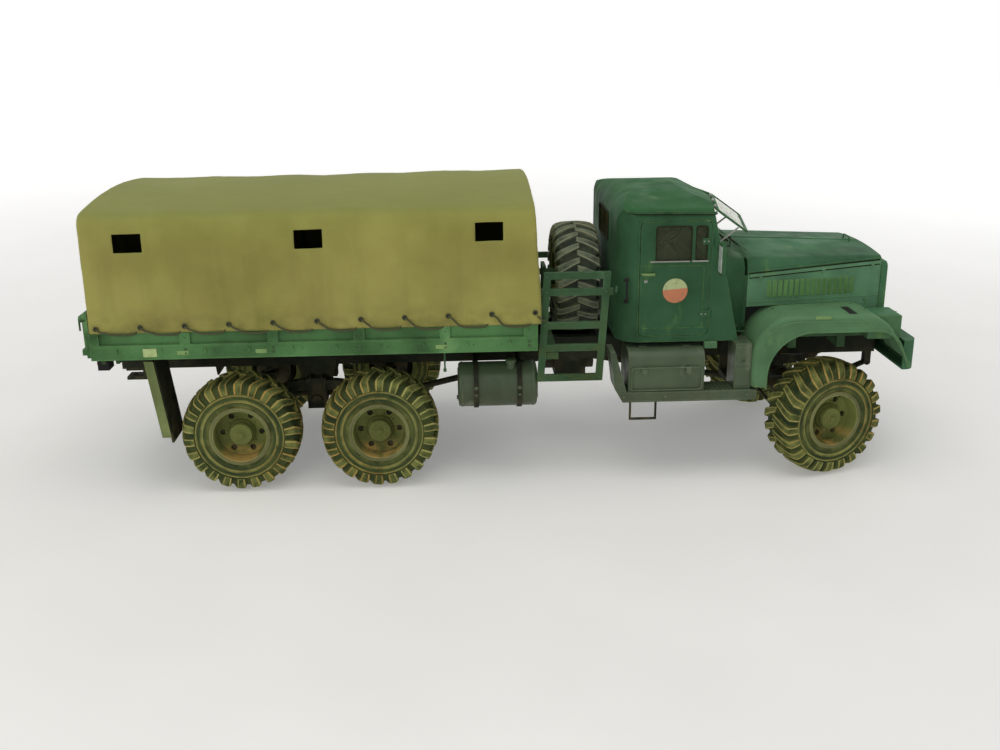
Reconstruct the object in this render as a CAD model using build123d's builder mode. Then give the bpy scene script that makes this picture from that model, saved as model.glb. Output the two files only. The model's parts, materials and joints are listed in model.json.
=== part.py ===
from build123d import *
import os
from math import cos, radians, sin

# Scale model, one tenth of life size, of a six-wheeled bonneted army cargo truck with a tarpaulin.
# Millimetres. +X points forward, +Y to the left, +Z up. The tyres stand on Z = 0, and X = 0 is
# half way along the truck. The front wheels are built steered to the left, as the model stands.

os.makedirs("parts", exist_ok=True)

# Driving sizes of the whole truck. The front axle lies a setback behind its arch's middle
LENGTH = 838.0
FRONT_OVERHANG = 90.0
AXLE_SETBACK = 8.0
WHEELBASE = 452.0
BOGIE_SPREAD = 140.0
TRACK = 225.0
SHEET = 2.0
FIT = 0.3
PIN_FIT = 0.05

# Wheels
TYRE_DIAMETER = 120.0
TYRE_WIDTH = 50.0
RIM_DIAMETER = 57.0
RIM_WIDTH = 44.0
HUB_RADIUS = 12.5
SPINDLE_RADIUS = 4.0
WHEEL_HOLES = 6

# Steering
STEER_ANGLE = 17.0
KINGPIN_OFFSET = 30.0
KINGPIN_RADIUS = 3.0
STEER_ARM = 30.0

# Chassis
RAIL_SPACING = 80.0
RAIL_WIDTH = 12.0
RAIL_HEIGHT = 24.0
RAIL_BOTTOM = 107.0
AXLE_TUBE_RADIUS = 7.0
LEAF = 2.2
LEAF_WIDTH = 10.0

# Cab, measured back from the front wheel arch's middle
CAB_REAR = 217.0
COWL_START = 118.0
COWL_END = 84.0
CAB_WIDTH = 230.0
COWL_WIDTH = 180.0
CAB_BOTTOM = 143.4
CAB_EAVE = 275.0
ROOF_TOP = 289.5
COWL_REAR_TOP = 236.0
COWL_FRONT_TOP = 228.0
CAB_WALL = 2.5
DOOR_FRONT = 126.0
DOOR_LENGTH = 70.0
DOOR_BOTTOM = 150.0
DOOR_HEIGHT = 116.0

# Hood, measured from the front wheel arch's middle
HOOD_FRONT = 65.0
HOOD_GAP = 3.0
HOOD_FRONT_WIDTH = 140.0
HOOD_REAR_EDGE = 206.0
HOOD_FRONT_EDGE = 214.0
HOOD_FRONT_TOP = 221.5

# Fenders
FENDER_OUTER = 135.0
FENDER_INNER = 76.5

# Cargo bed and tarpaulin
BED_LENGTH = 436.6
BED_WIDTH = 273.8
BED_BOTTOM = 143.8
BED_FLOOR = 5.0
BOARD_TOP = 190.0
SILL_TOP = 170.5
BOARD = 4.0
TAIL_DEPTH = 12.0
CLOTH = 1.6
EAVE_LEAN = 4.4
EAVE_HEIGHT = 285.0
REAR_CROWN = 293.0
FRONT_CROWN = 298.5
BOW_COUNT = 6
BOW = 3.0

# Places that follow from the driving sizes
NOSE_X = LENGTH / 2
TAIL_X = -LENGTH / 2
FRONT_X = NOSE_X - FRONT_OVERHANG
FRONT_AXLE_X = FRONT_X - AXLE_SETBACK
MIDDLE_X = FRONT_AXLE_X - WHEELBASE
REAR_X = MIDDLE_X - BOGIE_SPREAD
BOGIE_X = (MIDDLE_X + REAR_X) / 2
AXLE_Z = TYRE_DIAMETER / 2
WHEEL_Y = TRACK / 2
KINGPIN_Y = WHEEL_Y - KINGPIN_OFFSET
RAIL_Y = RAIL_SPACING / 2
RAIL_TOP = RAIL_BOTTOM + RAIL_HEIGHT
RAIL_OUTER = RAIL_Y + RAIL_WIDTH / 2
BED_REAR_X = TAIL_X + TAIL_DEPTH
BED_FRONT_X = BED_REAR_X + BED_LENGTH
CAB_REAR_X = FRONT_X - CAB_REAR
COWL_START_X = FRONT_X - COWL_START
COWL_END_X = FRONT_X - COWL_END
CAB_HALF = CAB_WIDTH / 2
EAVE_HALF_WIDTH = BED_WIDTH / 2 - EAVE_LEAN
SIDES = (("right", -1), ("left", 1))


def save(builder, name):
    """Labels a finished piece and writes it."""
    builder.part.label = name
    export_step(builder.part, f"parts/{name}.step")


def block(x, y, z, mode=Mode.ADD):
    """A block between two values each of X, Y and Z."""
    with Locations(((x[0] + x[1]) / 2, (y[0] + y[1]) / 2, (z[0] + z[1]) / 2)):
        Box(abs(x[1] - x[0]), abs(y[1] - y[0]), abs(z[1] - z[0]), mode=mode)


def steered_point(side, forward, outward):
    """A point of a front knuckle, from its kingpin, with the wheels steered."""
    turn = radians(STEER_ANGLE)
    x = FRONT_AXLE_X + forward * cos(turn) - side * outward * sin(turn)
    y = side * KINGPIN_Y + forward * sin(turn) + side * outward * cos(turn)
    return x, y


def wheel_plane(x, side, steered):
    """The wheel's middle plane, with its Z axis along the axle and outward."""
    turn = radians(STEER_ANGLE if steered else 0)
    centre = steered_point(side, 0, KINGPIN_OFFSET) if steered else (x, side * WHEEL_Y)
    return Plane(
        origin=(centre[0], centre[1], AXLE_Z),
        x_dir=(side * cos(turn), side * sin(turn), 0),
        z_dir=(-side * sin(turn), side * cos(turn), 0),
    )


# Wheels. Each is drawn once round its own Z axis, which points outward
TYRE_RADIUS = TYRE_DIAMETER / 2
BEAD_RADIUS = RIM_DIAMETER / 2
SHOULDER = 7.0
HUB_DEPTH = 12.0
DISC_OFFSET = 4.0
SIDEWALL = TYRE_WIDTH / 2
RIM_EDGE = RIM_WIDTH / 2

with BuildPart() as tyre_form:
    with BuildSketch(Plane.XZ):
        with BuildLine():
            Polyline(
                (BEAD_RADIUS, RIM_EDGE - 2),
                (BEAD_RADIUS + 4, RIM_EDGE - 1),
            )
            ThreePointArc(
                (BEAD_RADIUS + 4, RIM_EDGE - 1),
                (TYRE_RADIUS - 2 * SHOULDER, SIDEWALL),
                (TYRE_RADIUS - SHOULDER / 2, SIDEWALL - SHOULDER / 2),
            )
            ThreePointArc(
                (TYRE_RADIUS - SHOULDER / 2, SIDEWALL - SHOULDER / 2),
                (TYRE_RADIUS, 0),
                (TYRE_RADIUS - SHOULDER / 2, SHOULDER / 2 - SIDEWALL),
            )
            ThreePointArc(
                (TYRE_RADIUS - SHOULDER / 2, SHOULDER / 2 - SIDEWALL),
                (TYRE_RADIUS - 2 * SHOULDER, -SIDEWALL),
                (BEAD_RADIUS + 4, 1 - RIM_EDGE),
            )
            Polyline(
                (BEAD_RADIUS + 4, 1 - RIM_EDGE),
                (BEAD_RADIUS, 2 - RIM_EDGE),
                (BEAD_RADIUS, RIM_EDGE - 2),
            )
        make_face()
    revolve(axis=Axis.Z)

with BuildPart() as rim_form:
    with BuildSketch(Plane.XZ):
        with BuildLine():
            Polyline(
                (BEAD_RADIUS + SHEET, RIM_EDGE),
                (BEAD_RADIUS - SHEET, RIM_EDGE),
                (BEAD_RADIUS - 2 * SHEET, DISC_OFFSET + 2 * SHEET),
                (HUB_RADIUS + SHEET, DISC_OFFSET + SHEET),
                (HUB_RADIUS, HUB_DEPTH - SHEET),
                (HUB_RADIUS * 0.72, HUB_DEPTH - SHEET),
                (HUB_RADIUS * 0.66, HUB_DEPTH + SHEET),
                (SPINDLE_RADIUS, HUB_DEPTH + SHEET),
                (SPINDLE_RADIUS, HUB_DEPTH + 2 * SHEET),
                (0, HUB_DEPTH + 2 * SHEET),
                (0, HUB_DEPTH - SHEET),
                (SPINDLE_RADIUS + PIN_FIT, HUB_DEPTH - SHEET),
                (SPINDLE_RADIUS + PIN_FIT, -HUB_DEPTH),
                (HUB_RADIUS - SHEET, -HUB_DEPTH),
                (HUB_RADIUS, DISC_OFFSET),
                (BEAD_RADIUS - 2 * SHEET, DISC_OFFSET),
                (BEAD_RADIUS - SHEET, -RIM_EDGE),
                (BEAD_RADIUS + SHEET, -RIM_EDGE),
                (BEAD_RADIUS + SHEET, 1 - RIM_EDGE),
                (BEAD_RADIUS - FIT / 3, 1 - RIM_EDGE),
                (BEAD_RADIUS - FIT / 3, RIM_EDGE - 1),
                (BEAD_RADIUS + SHEET, RIM_EDGE - 1),
                (BEAD_RADIUS + SHEET, RIM_EDGE),
            )
        make_face()
    revolve(axis=Axis.Z)
    with PolarLocations((HUB_RADIUS + BEAD_RADIUS - SHEET) / 2, WHEEL_HOLES):
        Cylinder(3.2, 4 * RIM_EDGE, mode=Mode.SUBTRACT)

# Wheel name, axle X, side, steered
WHEELS = (
    ("front_right", FRONT_AXLE_X, -1, True),
    ("front_left", FRONT_AXLE_X, 1, True),
    ("middle_right", MIDDLE_X, -1, False),
    ("middle_left", MIDDLE_X, 1, False),
    ("rear_right", REAR_X, -1, False),
    ("rear_left", REAR_X, 1, False),
)
for name, x, side, steered in WHEELS:
    with BuildPart() as tyre:
        with Locations(wheel_plane(x, side, steered)):
            add(tyre_form.part)
    save(tyre, f"tyre_{name}")
    with BuildPart() as rim:
        with Locations(wheel_plane(x, side, steered)):
            add(rim_form.part)
    save(rim, f"rim_{name}")

# Spare wheel, upright across the truck behind the cab
SPARE_X = FRONT_X - 250
SPARE_Z = 188.0
spare_plane = Plane(origin=(SPARE_X, 0, SPARE_Z), x_dir=(0, 1, 0), z_dir=(1, 0, 0))
with BuildPart() as spare_tyre:
    with Locations(spare_plane):
        add(tyre_form.part)
save(spare_tyre, "spare_tyre")
with BuildPart() as spare_rim:
    with Locations(spare_plane):
        add(rim_form.part)
save(spare_rim, "spare_rim")

# Frame: two channel rails, open inward, and cross members
RAIL_FRONT_X = NOSE_X - 14
CROSS_MEMBER = 8.0
CROSS_MEMBERS_X = (
    RAIL_FRONT_X - CROSS_MEMBER,
    FRONT_X - 74,
    CAB_REAR_X - 6,
    BED_FRONT_X + 20,
    MIDDLE_X + 40,
    BOGIE_X,
    REAR_X - 40,
)
CAB_MOUNTS_X = (CAB_REAR_X + 14, COWL_START_X - 10)
HITCH_X = TAIL_X + 22
HITCH_HOLE = 3.0


def cross_member(x):
    """A bar between the rails' webs, as high as the space between their flanges."""
    inner = RAIL_OUTER - SHEET
    block(
        (x - CROSS_MEMBER / 2, x + CROSS_MEMBER / 2),
        (-inner, inner),
        (RAIL_BOTTOM + SHEET, RAIL_TOP - SHEET),
    )


with BuildPart() as frame:
    for name, side in SIDES:
        with BuildSketch(Plane.YZ.offset(BED_REAR_X)):
            with Locations((side * RAIL_Y, RAIL_BOTTOM + RAIL_HEIGHT / 2)):
                Rectangle(RAIL_WIDTH, RAIL_HEIGHT)
            with Locations((side * (RAIL_Y - SHEET), RAIL_BOTTOM + RAIL_HEIGHT / 2)):
                Rectangle(RAIL_WIDTH, RAIL_HEIGHT - 2 * SHEET, mode=Mode.SUBTRACT)
        extrude(amount=RAIL_FRONT_X - BED_REAR_X)
    cross_member(BED_REAR_X + CROSS_MEMBER)
    for name, side in SIDES:
        for x in CAB_MOUNTS_X:
            block(
                (x - 6, x + 6),
                (side * (RAIL_Y - RAIL_WIDTH / 2), side * RAIL_OUTER),
                (RAIL_TOP - SHEET, CAB_BOTTOM),
            )
    block((HITCH_X - 18, HITCH_X + 8), (-9, 9), (RAIL_BOTTOM - 24, RAIL_BOTTOM + SHEET))
    block((HITCH_X - 22, HITCH_X + 12), (-14, 14), (RAIL_BOTTOM, RAIL_BOTTOM + 12))
    with Locations((HITCH_X - 10, 0, RAIL_BOTTOM - 17)):
        Cylinder(HITCH_HOLE, 40, mode=Mode.SUBTRACT)
        Box(20, 30, 7, mode=Mode.SUBTRACT)
save(frame, "frame")
with BuildPart() as cross_members:
    for x in CROSS_MEMBERS_X:
        cross_member(x)
save(cross_members, "cross_members")

# Leaf springs: front packs under the rails, rear packs upside down on the bogie's trunnion
FRONT_PACK = (78.0, 64.0, 50.0, 36.0)
REAR_PACK = (74.0, 66.0, 54.0, 42.0, 30.0)
FRONT_RISE = 18.0
REAR_RISE = 14.0
SEAT = 2.0
SPRING_SEAT_Z = AXLE_Z + AXLE_TUBE_RADIUS + SEAT
REAR_SPRING_Y = RAIL_OUTER + 9
TRUNNION_Z = 72.0
TRUNNION_RADIUS = 6.0


def leaf(x, z, half_length, rise):
    """One leaf's outline: an arc of even thickness, with its ends that much above its middle."""
    with BuildLine() as outline:
        ThreePointArc((x - half_length, z + rise), (x, z), (x + half_length, z + rise))
        Line((x + half_length, z + rise), (x + half_length, z + rise + LEAF))
        ThreePointArc(
            (x + half_length, z + rise + LEAF), (x, z + LEAF), (x - half_length, z + rise + LEAF)
        )
        Line((x - half_length, z + rise + LEAF), (x - half_length, z + rise))
    make_face(outline.edges())


with BuildPart() as springs:
    pack_top = SPRING_SEAT_Z + LEAF * len(FRONT_PACK)
    eye_z = pack_top + FRONT_RISE - LEAF / 2
    half = FRONT_PACK[0]
    for name, side in SIDES:
        with BuildSketch(Plane.XZ.offset(-side * RAIL_Y)):
            for order, length in enumerate(FRONT_PACK):
                z = pack_top - LEAF * (order + 1)
                leaf(FRONT_AXLE_X, z, length, FRONT_RISE * (length / half) ** 2)
            for end in (-1, 1):
                with Locations((FRONT_AXLE_X + end * half, eye_z)):
                    Circle(LEAF * 1.6)
                with Locations((FRONT_AXLE_X + end * half, (eye_z + RAIL_BOTTOM) / 2)):
                    Rectangle(LEAF * 3, RAIL_BOTTOM - eye_z)
        extrude(amount=LEAF_WIDTH / 2, both=True)
        block(
            (FRONT_AXLE_X - 9, FRONT_AXLE_X + 9),
            (side * RAIL_Y - 7, side * RAIL_Y + 7),
            (SPRING_SEAT_Z, pack_top + SEAT),
        )
    arch_z = SPRING_SEAT_Z + REAR_RISE
    half = REAR_PACK[0]
    for name, side in SIDES:
        with BuildSketch(Plane.XZ.offset(-side * REAR_SPRING_Y)):
            for order, length in enumerate(REAR_PACK):
                leaf(BOGIE_X, arch_z + LEAF * order, length, -REAR_RISE * (length / half) ** 2)
        extrude(amount=LEAF_WIDTH / 2, both=True)
        block(
            (BOGIE_X - 10, BOGIE_X + 10),
            (side * REAR_SPRING_Y - 7, side * REAR_SPRING_Y + 7),
            (TRUNNION_Z - 9, arch_z + LEAF * len(REAR_PACK) + SEAT),
        )
    with Locations((BOGIE_X, 0, TRUNNION_Z)):
        Cylinder(
            TRUNNION_RADIUS + FIT,
            2 * (REAR_SPRING_Y + 10),
            rotation=(90, 0, 0),
            mode=Mode.SUBTRACT,
        )
save(springs, "springs")
with BuildPart() as trunnion:
    for name, side in SIDES:
        with BuildSketch(Plane.XZ.offset(-side * RAIL_OUTER)):
            with BuildLine():
                Polyline(
                    (BOGIE_X - 26, RAIL_TOP - SHEET),
                    (BOGIE_X + 26, RAIL_TOP - SHEET),
                    (BOGIE_X + 9, TRUNNION_Z - 8),
                    (BOGIE_X - 9, TRUNNION_Z - 8),
                    close=True,
                )
            make_face()
        extrude(amount=-side * (SHEET - FIT))
    with Locations((BOGIE_X, 0, TRUNNION_Z)):
        Cylinder(TRUNNION_RADIUS, 2 * (REAR_SPRING_Y + 10), rotation=(90, 0, 0))
save(trunnion, "trunnion")

# Axles. The rear pair carry their wheels on spindles, the front one ends in forks for the knuckles
DRUM_RADIUS = 20.0
HUB_INNER = WHEEL_Y - HUB_DEPTH
DIFF_RADIUS = 16.0


def axle_housing(x, tube_end):
    """Tube across the truck with the round differential casing in its middle."""
    with Locations((x, 0, AXLE_Z)):
        Cylinder(AXLE_TUBE_RADIUS, 2 * tube_end, rotation=(90, 0, 0))
        Sphere(DIFF_RADIUS)
        Cylinder(AXLE_TUBE_RADIUS + 2, 2 * DIFF_RADIUS + 14, rotation=(90, 0, 0))
        Cylinder(5, 2 * DIFF_RADIUS + 10, rotation=(0, 90, 0))


with BuildPart() as rear_axles:
    for x in (MIDDLE_X, REAR_X):
        axle_housing(x, HUB_INNER - FIT)
        for name, side in SIDES:
            with Locations((x, side * (HUB_INNER - 7), AXLE_Z)):
                Cylinder(DRUM_RADIUS, 11, rotation=(90, 0, 0))
            with Locations((x, side * (HUB_INNER + 9), AXLE_Z)):
                Cylinder(SPINDLE_RADIUS, 22, rotation=(90, 0, 0))
            block(
                (x - 9, x + 9),
                (side * REAR_SPRING_Y - 7, side * REAR_SPRING_Y + 7),
                (AXLE_Z, SPRING_SEAT_Z - FIT),
            )
save(rear_axles, "rear_axles")

FORK_RADIUS = 6.0
FORK_HEIGHT = 26.0
FORK_PLATE = 4.0
KNUCKLE_HEIGHT = FORK_HEIGHT - 2 * FORK_PLATE - 2 * FIT
with BuildPart() as front_axle:
    axle_housing(FRONT_AXLE_X, KINGPIN_Y - FORK_RADIUS - 4)
    for name, side in SIDES:
        block(
            (FRONT_AXLE_X - 9, FRONT_AXLE_X + 9),
            (side * RAIL_Y - 7, side * RAIL_Y + 7),
            (AXLE_Z, SPRING_SEAT_Z),
        )
        with Locations((FRONT_AXLE_X, side * (KINGPIN_Y - FORK_RADIUS - 4), AXLE_Z)):
            Box(12, 6, FORK_HEIGHT)
        for level in (-1, 1):
            z = AXLE_Z + level * (FORK_HEIGHT - FORK_PLATE) / 2
            with Locations((FRONT_AXLE_X, side * (KINGPIN_Y - FORK_RADIUS / 2 - 2), z)):
                Box(12, FORK_RADIUS + 4, FORK_PLATE)
            with Locations((FRONT_AXLE_X, side * KINGPIN_Y, z)):
                Cylinder(FORK_RADIUS, FORK_PLATE)
                Cylinder(KINGPIN_RADIUS + PIN_FIT, FORK_PLATE * 2, mode=Mode.SUBTRACT)
save(front_axle, "front_axle")

# Steering knuckles, each with its kingpin, spindle, brake drum and arm
ARM_Z = AXLE_Z - 11
ARM_PLATE = 3.0
ROD_PIN = 2.0
for name, side in SIDES:
    kingpin_plane = Plane(
        origin=(FRONT_AXLE_X, side * KINGPIN_Y, AXLE_Z),
        x_dir=(cos(radians(STEER_ANGLE)), sin(radians(STEER_ANGLE)), 0),
        z_dir=(0, 0, 1),
    )
    with BuildPart() as knuckle:
        with Locations(kingpin_plane):
            Cylinder(FORK_RADIUS, KNUCKLE_HEIGHT)
            Cylinder(KINGPIN_RADIUS, FORK_HEIGHT)
        spindle_plane = wheel_plane(FRONT_AXLE_X, side, True)
        with Locations(spindle_plane.offset(-KINGPIN_OFFSET + 9)):
            Cylinder(7, 12)
        with Locations(spindle_plane.offset(-HUB_DEPTH - FIT - 3)):
            Cylinder(DRUM_RADIUS - 5, 6)
        with Locations(spindle_plane.offset(-HUB_DEPTH + 9)):
            Cylinder(SPINDLE_RADIUS, 26)
        with BuildSketch(kingpin_plane.offset(ARM_Z - AXLE_Z + 6)):
            with Locations((-STEER_ARM / 2, 0)):
                Rectangle(STEER_ARM, 6)
            with Locations((-STEER_ARM, 0)):
                Circle(3.5)
        extrude(amount=ARM_PLATE)
        with Locations(kingpin_plane.offset(ARM_Z - AXLE_Z + 3)):
            with Locations((-STEER_ARM, 0, 0)):
                Cylinder(ROD_PIN, 9)
    save(knuckle, f"knuckle_{name}")

# Tie rod between the two arms, with an eye on each arm's pin
ROD_X, ROD_SHIFT = steered_point(-1, -STEER_ARM, 0)
ROD_SHIFT += KINGPIN_Y
ROD_EYE_RADIUS = 4.5
ROD_EYE_HEIGHT = 4.0
ROD_Z = ARM_Z + 3.6
OPEN_EYE_PLAY = 0.4
with BuildPart() as tie_rod:
    with Locations((ROD_X, ROD_SHIFT, ROD_Z)):
        Cylinder(1.8, 2 * KINGPIN_Y - ROD_EYE_RADIUS, rotation=(90, 0, 0))
    for name, side in SIDES:
        with Locations((ROD_X, side * KINGPIN_Y + ROD_SHIFT, ROD_Z)):
            Cylinder(ROD_EYE_RADIUS, ROD_EYE_HEIGHT)
            play = PIN_FIT if side > 0 else OPEN_EYE_PLAY
            Cylinder(ROD_PIN + play, 2 * ROD_EYE_HEIGHT, mode=Mode.SUBTRACT)
save(tie_rod, "tie_rod")

# Driveline: transfer case in the middle and a shaft to each axle
CASE_X = FRONT_X - 255
CASE_Z = 96.0
CASE_HALF = 27.0
SHAFT_RADIUS = 3.5
# Axle X, direction from the case
SHAFTS = ((FRONT_AXLE_X, 1), (MIDDLE_X, -1))
with BuildPart() as driveline:
    with Locations((CASE_X, 0, CASE_Z)):
        Box(34, 44, 34)
        Cylinder(13, 2 * CASE_HALF, rotation=(0, 90, 0))
    for axle_x, direction in SHAFTS:
        start = Vector(CASE_X + direction * (CASE_HALF + FIT), 0, CASE_Z)
        stop = Vector(axle_x - direction * (DIFF_RADIUS + 5.3), 0, AXLE_Z)
        run = stop - start
        with Locations(Plane(origin=(start + stop) / 2, z_dir=run)):
            Cylinder(SHAFT_RADIUS, run.length - 2)
    with Locations(((MIDDLE_X + REAR_X) / 2, 0, AXLE_Z)):
        Cylinder(SHAFT_RADIUS, BOGIE_SPREAD - 2 * DIFF_RADIUS - 11, rotation=(0, 90, 0))
    block(
        (CASE_X - 8, CASE_X + 8),
        (-RAIL_OUTER + SHEET, RAIL_OUTER - SHEET),
        (CASE_Z + 8, RAIL_BOTTOM),
    )
save(driveline, "driveline")

# Engine as one plain block on the rails
with BuildPart() as engine_block:
    block((FRONT_X - 66, FRONT_X + 30), (-28, 28), (RAIL_BOTTOM, 192))
    fillet(engine_block.edges().filter_by(Axis.Z), 4)
    block(
        (FRONT_X - 12, FRONT_X - 4),
        (-RAIL_OUTER + SHEET, RAIL_OUTER - SHEET),
        (RAIL_BOTTOM + 6, RAIL_BOTTOM + 16),
    )
save(engine_block, "engine_block")

# Bumper: a channel with rounded ends, open at its back
BUMPER_DEPTH = 14.0
BUMPER_HALF = 122.0
BUMPER_Z = (110.0, 141.0)
BUMPER_END = 12.0
with BuildPart() as bumper:
    with BuildSketch(Plane.XY.offset(BUMPER_Z[0])):
        with Locations((NOSE_X - BUMPER_DEPTH / 2, 0)):
            Rectangle(BUMPER_DEPTH, 2 * BUMPER_HALF)
        fillet([v for v in vertices() if v.X > NOSE_X - 1], BUMPER_END)
    extrude(amount=BUMPER_Z[1] - BUMPER_Z[0])
    with BuildSketch(Plane.XY.offset(BUMPER_Z[0] + SHEET)):
        with Locations((NOSE_X - BUMPER_DEPTH / 2 - SHEET, 0)):
            Rectangle(BUMPER_DEPTH, 2 * (BUMPER_HALF - SHEET))
        fillet([v for v in vertices() if v.X > NOSE_X - SHEET - 1], BUMPER_END - SHEET)
    extrude(amount=BUMPER_Z[1] - BUMPER_Z[0] - 2 * SHEET, mode=Mode.SUBTRACT)
save(bumper, "bumper")


# Hood section: sides, rounded shoulders and a low crown
def hood_section(x, half_width, bottom, edge, top, shoulder):
    """A closed section across the truck at x, with its shoulders rounded."""
    with BuildSketch(Plane.YZ.offset(x)) as section:
        with BuildLine():
            Line((-half_width, edge), (-half_width, bottom))
            Line((-half_width, bottom), (half_width, bottom))
            Line((half_width, bottom), (half_width, edge))
            ThreePointArc((half_width, edge), (0, top), (-half_width, edge))
        make_face()
        fillet([v for v in vertices() if v.Y > edge - 0.01], shoulder)
    return section.sketch


HOOD_REAR_X = COWL_END_X + HOOD_GAP
HOOD_FRONT_X = FRONT_X + HOOD_FRONT
HOOD_REAR_HALF = COWL_WIDTH / 2
HOOD_FRONT_HALF = HOOD_FRONT_WIDTH / 2
HOOD_CROWN = 8.0
HOOD_STEP_X = FRONT_X + 22
HOOD_SIDE_BOTTOM = 150.0
FENDER_CROWN = 171.5


def hood_lid_form(inset):
    """The lid's body, inset on its top, sides and ends."""
    rear_x, front_x = HOOD_REAR_X + inset, HOOD_FRONT_X - inset
    with BuildPart() as form:
        rear = hood_section(
            rear_x,
            HOOD_REAR_HALF - inset,
            HOOD_REAR_EDGE - 12,
            COWL_FRONT_TOP - HOOD_CROWN - inset,
            COWL_FRONT_TOP - inset,
            13 - inset,
        )
        front = hood_section(
            front_x,
            HOOD_FRONT_HALF - inset,
            HOOD_REAR_EDGE - 12,
            HOOD_FRONT_TOP - HOOD_CROWN / 2 - inset,
            HOOD_FRONT_TOP - inset,
            7 - inset,
        )
        loft([rear, front], ruled=True)
    return form.part


with BuildPart() as hood_lid:
    add(hood_lid_form(0))
    add(hood_lid_form(SHEET), mode=Mode.SUBTRACT)
    with BuildSketch(Plane.XZ):
        with BuildLine():
            Polyline(
                (HOOD_REAR_X - 20, 100),
                (HOOD_REAR_X - 20, HOOD_REAR_EDGE - 1.2),
                (HOOD_FRONT_X + 20, HOOD_FRONT_EDGE + 1.2),
                (HOOD_FRONT_X + 20, 100),
                close=True,
            )
        make_face()
    extrude(amount=CAB_WIDTH, both=True, mode=Mode.SUBTRACT)
save(hood_lid, "hood_lid")

# Hood sides: a tapering panel each side, with a ledge that the lid closes on
with BuildPart() as hood_sides:
    for name, side in SIDES:
        taper = Vector(
            HOOD_FRONT_X - HOOD_REAR_X, side * (HOOD_FRONT_HALF - HOOD_REAR_HALF), 0
        )
        normal = taper.cross(Vector(0, 0, 1)).normalized() * -side
        outer = Plane(
            origin=(HOOD_REAR_X, side * HOOD_REAR_HALF, 0), x_dir=taper, z_dir=normal * side
        )
        flip = 1 if outer.y_dir.Z > 0 else -1
        with BuildSketch(outer):
            with BuildLine():
                Polyline(
                    (0.5, flip * (FENDER_CROWN + FIT)),
                    (HOOD_STEP_X - HOOD_REAR_X, flip * (FENDER_CROWN + FIT)),
                    (HOOD_STEP_X - HOOD_REAR_X, flip * HOOD_SIDE_BOTTOM),
                    (taper.length, flip * HOOD_SIDE_BOTTOM),
                    (taper.length, flip * (HOOD_FRONT_EDGE - FIT * 2)),
                    (0.5, flip * (HOOD_REAR_EDGE - FIT * 2)),
                    close=True,
                )
            make_face()
        extrude(amount=-SHEET if outer.z_dir.Y * side > 0 else SHEET)
save(hood_sides, "hood_sides")

# Radiator shell and grille at the hood's front
GRILLE_BOTTOM = 150.0
GRILLE_TOP = HOOD_FRONT_EDGE - 2
GRILLE_DEPTH = 6.0
BARS = 11
with BuildPart() as grille:
    with BuildSketch(Plane.YZ.offset(HOOD_FRONT_X + FIT)):
        with Locations((0, (GRILLE_TOP + GRILLE_BOTTOM) / 2)):
            RectangleRounded(HOOD_FRONT_WIDTH + 2, GRILLE_TOP - GRILLE_BOTTOM, 5)
    extrude(amount=GRILLE_DEPTH)
    opening = HOOD_FRONT_WIDTH - 22
    pitch = opening / BARS
    with BuildSketch(Plane.YZ.offset(HOOD_FRONT_X + FIT)):
        with Locations((0, (GRILLE_TOP + GRILLE_BOTTOM) / 2)):
            with GridLocations(pitch, 0, BARS, 1):
                Rectangle(pitch - 3, GRILLE_TOP - GRILLE_BOTTOM - 14)
    extrude(amount=GRILLE_DEPTH, mode=Mode.SUBTRACT)
save(grille, "grille")

# Radiator behind the grille
with BuildPart() as radiator:
    block(
        (HOOD_FRONT_X - 14, HOOD_FRONT_X - 1),
        (-HOOD_FRONT_HALF + 10, HOOD_FRONT_HALF - 10),
        (RAIL_TOP + FIT, GRILLE_TOP - 4),
    )
save(radiator, "radiator")


# Fenders: a bent sheet over the wheel with a skirt round the arch, an inner apron and a lamp box
FENDER_FOOT = (-82.0, 99.0)
FENDER_TIP = (82.0, 116.0)
FENDER_SHOULDER_X = 50.0
ARCH_FOOT = (-68.0, 90.0)
ARCH_TIP = (77.0, 113.0)
ARCH_CROWN = 155.5
ARCH_SHOULDER_X = 61.0


def bent_outline(foot, tip, crown, shoulder_x, rear_radius, front_radius):
    """A sheet's run seen from the side: up from its rear foot, over a crown and down to its tip."""
    with BuildSketch(mode=Mode.PRIVATE) as outline:
        with BuildLine():
            Polyline(
                (FRONT_X + foot[0], foot[1]),
                (FRONT_X + foot[0], crown),
                (FRONT_X + shoulder_x, crown),
                (FRONT_X + tip[0], tip[1]),
                (FRONT_X + tip[0], foot[1] - 5),
                close=True,
            )
        make_face()
        fillet(outline.vertices().sort_by_distance((FRONT_X + foot[0], crown))[0], rear_radius)
        fillet(
            outline.vertices().sort_by_distance((FRONT_X + shoulder_x, crown))[0], front_radius
        )
    return outline.sketch


def fender_outline(inset):
    """The fender's outer run, or its inner face with inset as the sheet's thickness."""
    return bent_outline(
        (FENDER_FOOT[0] + inset, FENDER_FOOT[1]),
        (FENDER_TIP[0] - inset, FENDER_TIP[1]),
        FENDER_CROWN - inset,
        FENDER_SHOULDER_X - inset * 0.6,
        40 - inset,
        40 - inset,
    )


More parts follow.
